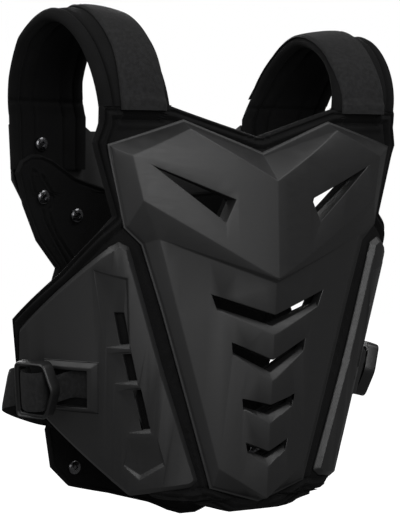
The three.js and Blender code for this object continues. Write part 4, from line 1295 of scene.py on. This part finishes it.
def band_mesh(high_edge, low_edge, thickness, columns=13):
    """Closed band between two edges, plump in the middle, with its weave's UV map in metres."""
    share = np.linspace(0, 1, columns)
    middle = low_edge[:, None] + (high_edge - low_edge)[:, None] * share[None, :, None]
    along = np.gradient((high_edge + low_edge) / 2, axis=0)
    out = np.cross(along, high_edge - low_edge)
    out /= np.linalg.norm(out, axis=1, keepdims=True)
    width = np.linalg.norm(high_edge[0] - low_edge[0])
    edge = np.minimum(share, 1 - share) * width
    plump = thickness / 2 * np.sqrt(np.clip(edge / 1.2, 0.04, 1)) - 0.25 * notch(edge, 3.0, 0.6)
    offset = out[:, None] * plump[None, :, None]
    rings = np.concatenate([middle + offset, (middle - offset)[:, ::-1]], axis=1)
    points, faces = skin_of_rings(rings)
    mesh = bpy.data.meshes.new("band")
    mesh.from_pydata(metres(points).tolist(), [], faces)
    steps = np.linalg.norm(np.diff((high_edge + low_edge) / 2, axis=0), axis=1)
    run = np.repeat(np.concatenate([[0], np.cumsum(steps)]), 2 * columns) / 1000
    sideways = np.tile(np.concatenate([share, share[::-1]]) * width / 1000, len(rings))
    return outwards(with_uv(mesh, run, sideways))


# %% Build the tabs and the waist straps
RECESS_REACH = 161.0
WINDOW_GAP = 2.0
WEBBING_ROLL = 17.0
BULGE_REACH = 182.0
BULGE_FLARE = 8.0
BULGE_BACK = 184.0
ANCHOR_REACH = 100.0
ANCHOR_HOLD = 22.0
ANCHOR_DROP = -217.0


def tab_edge(side, share):
    """One edge of the short tab, from the boss up to the buckle's underside."""
    up = share * TAB_WEBBING_WIDTH + BUCKLE_MIDDLE
    under = SIDE_STAND + BUCKLE_LIFT - 0.4 - WEBBING_THICKNESS / 2
    sign = SIGN[side]
    return smooth_path([
        front_place(sign * (RECESS_REACH + BUCKLE_BORDER), up, WEBBING_THICKNESS),
        front_place(sign * BUCKLE_REACH, up, 1.5 * WEBBING_THICKNESS),
        buckle_place(side, BUCKLE_REACH + 1.5 * BUCKLE_BORDER, up, under),
        buckle_place(side, BUCKLE_REACH + 2.5 * BUCKLE_BORDER, up, under),
    ])


def waist_edge(side, share):
    """One edge of the waist strap, from the roll in the window round to the back."""
    rear = BUCKLE_REACH + BUCKLE_LENGTH
    under = SIDE_STAND + BUCKLE_LIFT - 0.4 - WEBBING_THICKNESS
    front = BUCKLE_REACH + BUCKLE_NOSE + WINDOW_GAP
    end = rear - BUCKLE_BORDER - WINDOW_GAP
    against = BACK_THICKNESS + 0.4 + WEBBING_THICKNESS / 2
    sign = SIGN[side]
    anchor = ANCHOR_REACH + ANCHOR_HOLD

    def up(run):
        return share * WEBBING_WIDTH + BUCKLE_MIDDLE + run * (ANCHOR_DROP - BUCKLE_MIDDLE)

    return smooth_path([
        buckle_place(side, front, up(0), under),
        buckle_place(side, front + WINDOW_GAP, up(0), under + WEBBING_ROLL * 0.75),
        buckle_place(side, (front + end) / 2, up(0), under + WEBBING_ROLL),
        buckle_place(side, end, up(0), under + WEBBING_ROLL * 0.6),
        buckle_place(side, end - WINDOW_GAP / 2, up(0), under),
        buckle_place(side, rear + WINDOW_GAP, up(0.02), under),
        np.array([sign * (BULGE_REACH - share * BULGE_FLARE), BULGE_BACK, up(0.35)]),
        back_place(sign * (anchor + WEBBING_WIDTH / 2), up(0.9), against),
        back_place(sign * anchor, up(1), against),
        back_place(sign * ANCHOR_REACH, up(1), against),
    ])


for name in SIGN:
    tab = band_mesh(tab_edge(name, 0.5), tab_edge(name, -0.5), WEBBING_THICKNESS)
    finish_piece(f"nose_tab_{name}", tab, waist_weave, f"buckle_tab_{name}", 60)
    waist = band_mesh(waist_edge(name, 0.5), waist_edge(name, -0.5), WEBBING_THICKNESS)
    piece = finish_piece(f"waist_webbing_{name}", waist, waist_weave, f"waist_strap_{name}", 60)
    print("webbing", name, len(piece.data.polygons), "faces")

# %% [markdown]
# ## Screws of the back
# Four domed screws on each side hold the back shell. A dome is a profile turned about the
# screw's axis, and the hexagon socket is sunk by letting the radius of the inner rings follow
# a hexagon.

# %% Build the screws
SCREW_RADIUS = 7.0
SCREW_HEAD = 3.5
SCREW_EDGE = 1.0
SOCKET_RADIUS = 2.6
SOCKET_DEPTH = 1.8
BACK_HALF = 170.0
BACK_DROP = 334.0
SCREWS = {"low": (0.6, -0.826), "inner": (0.6, -0.1), "outer": (0.825, -0.047)}
YOKE_SCREW = (0.27, 1.52)


def screw_points():
    """Rings of a domed head with a hexagon socket, round the +Z axis, in millimetres."""
    angle = np.linspace(0, 2 * np.pi, 48, endpoint=False)
    sector = np.pi / 3
    hexagon = np.cos(sector / 2) / np.cos((angle % sector) - sector / 2)

    def ring(radius, height, shape=1.0):
        sideways, upwards = radius * shape * np.cos(angle), radius * shape * np.sin(angle)
        return np.stack([sideways, upwards, np.full(angle.shape, height)], axis=-1)

    rings = [ring(SCREW_RADIUS, 0.0), ring(SCREW_RADIUS, SCREW_EDGE)]
    for rise in np.linspace(0.15, 1, 7)[:-1]:
        rings.append(ring(SCREW_RADIUS * math.cos(rise * math.pi / 2) ** 0.8,
                          SCREW_EDGE + (SCREW_HEAD - SCREW_EDGE) * math.sin(rise * math.pi / 2)))
    rings = [r for r in rings if np.hypot(r[0, 0], r[0, 1]) > SOCKET_RADIUS * 1.15]
    rings.append(ring(SOCKET_RADIUS * 1.12, SCREW_HEAD, hexagon))
    rings.append(ring(SOCKET_RADIUS, SCREW_HEAD - 0.3, hexagon))
    rings.append(ring(SOCKET_RADIUS, SCREW_HEAD - SOCKET_DEPTH, hexagon))
    return np.array(rings)


def screw_mesh(chart, across, up):
    """The head set on the wearer's face of a chart point, along its normal."""
    near = 0.01
    face = chart(across, up, 0.0)
    sideways = chart(across + near, up, 0.0) - face
    upward = chart(across, up + near, 0.0) - face
    inward = chart(across, up, -near) - face
    out = np.cross(sideways, upward)
    out *= np.sign(out @ inward) / np.linalg.norm(out)
    first = sideways / np.linalg.norm(sideways)
    second = np.cross(out, first)
    rings = screw_points()
    placed = face + 0.4 * out + rings[..., :1] * first + rings[..., 1:2] * second + rings[..., 2:] * out
    return mesh_of(metres(placed), skin_of_rings(placed)[1])


for name, sign in SIGN.items():
    for label, (across, up) in SCREWS.items():
        head = screw_mesh(back_place, sign * across * BACK_HALF, up * BACK_DROP)
        finish_piece(f"screw_{label}_{name}", head, screw_steel, f"back_screw_{label}_{name}",
                     40)
    on_yoke = screw_mesh(lambda a, t, h: arch_place(name, a, t, h), YOKE_SCREW[0] * PAD_WIDTH, YOKE_SCREW[1])
    finish_piece(f"screw_yoke_{name}", on_yoke, screw_steel, f"back_screw_yoke_{name}", 40)
print("screws", 2 * (len(SCREWS) + 1))

# %% Finish
floor_finish, _, floor_shader = new_finish("pale_floor", (0.9, 0.9, 0.9), 0.9)
floor_shader.inputs["Emission Color"].default_value = (1, 1, 1, 1)
floor_shader.inputs["Emission Strength"].default_value = 1.0
floor.data.materials.append(floor_finish)
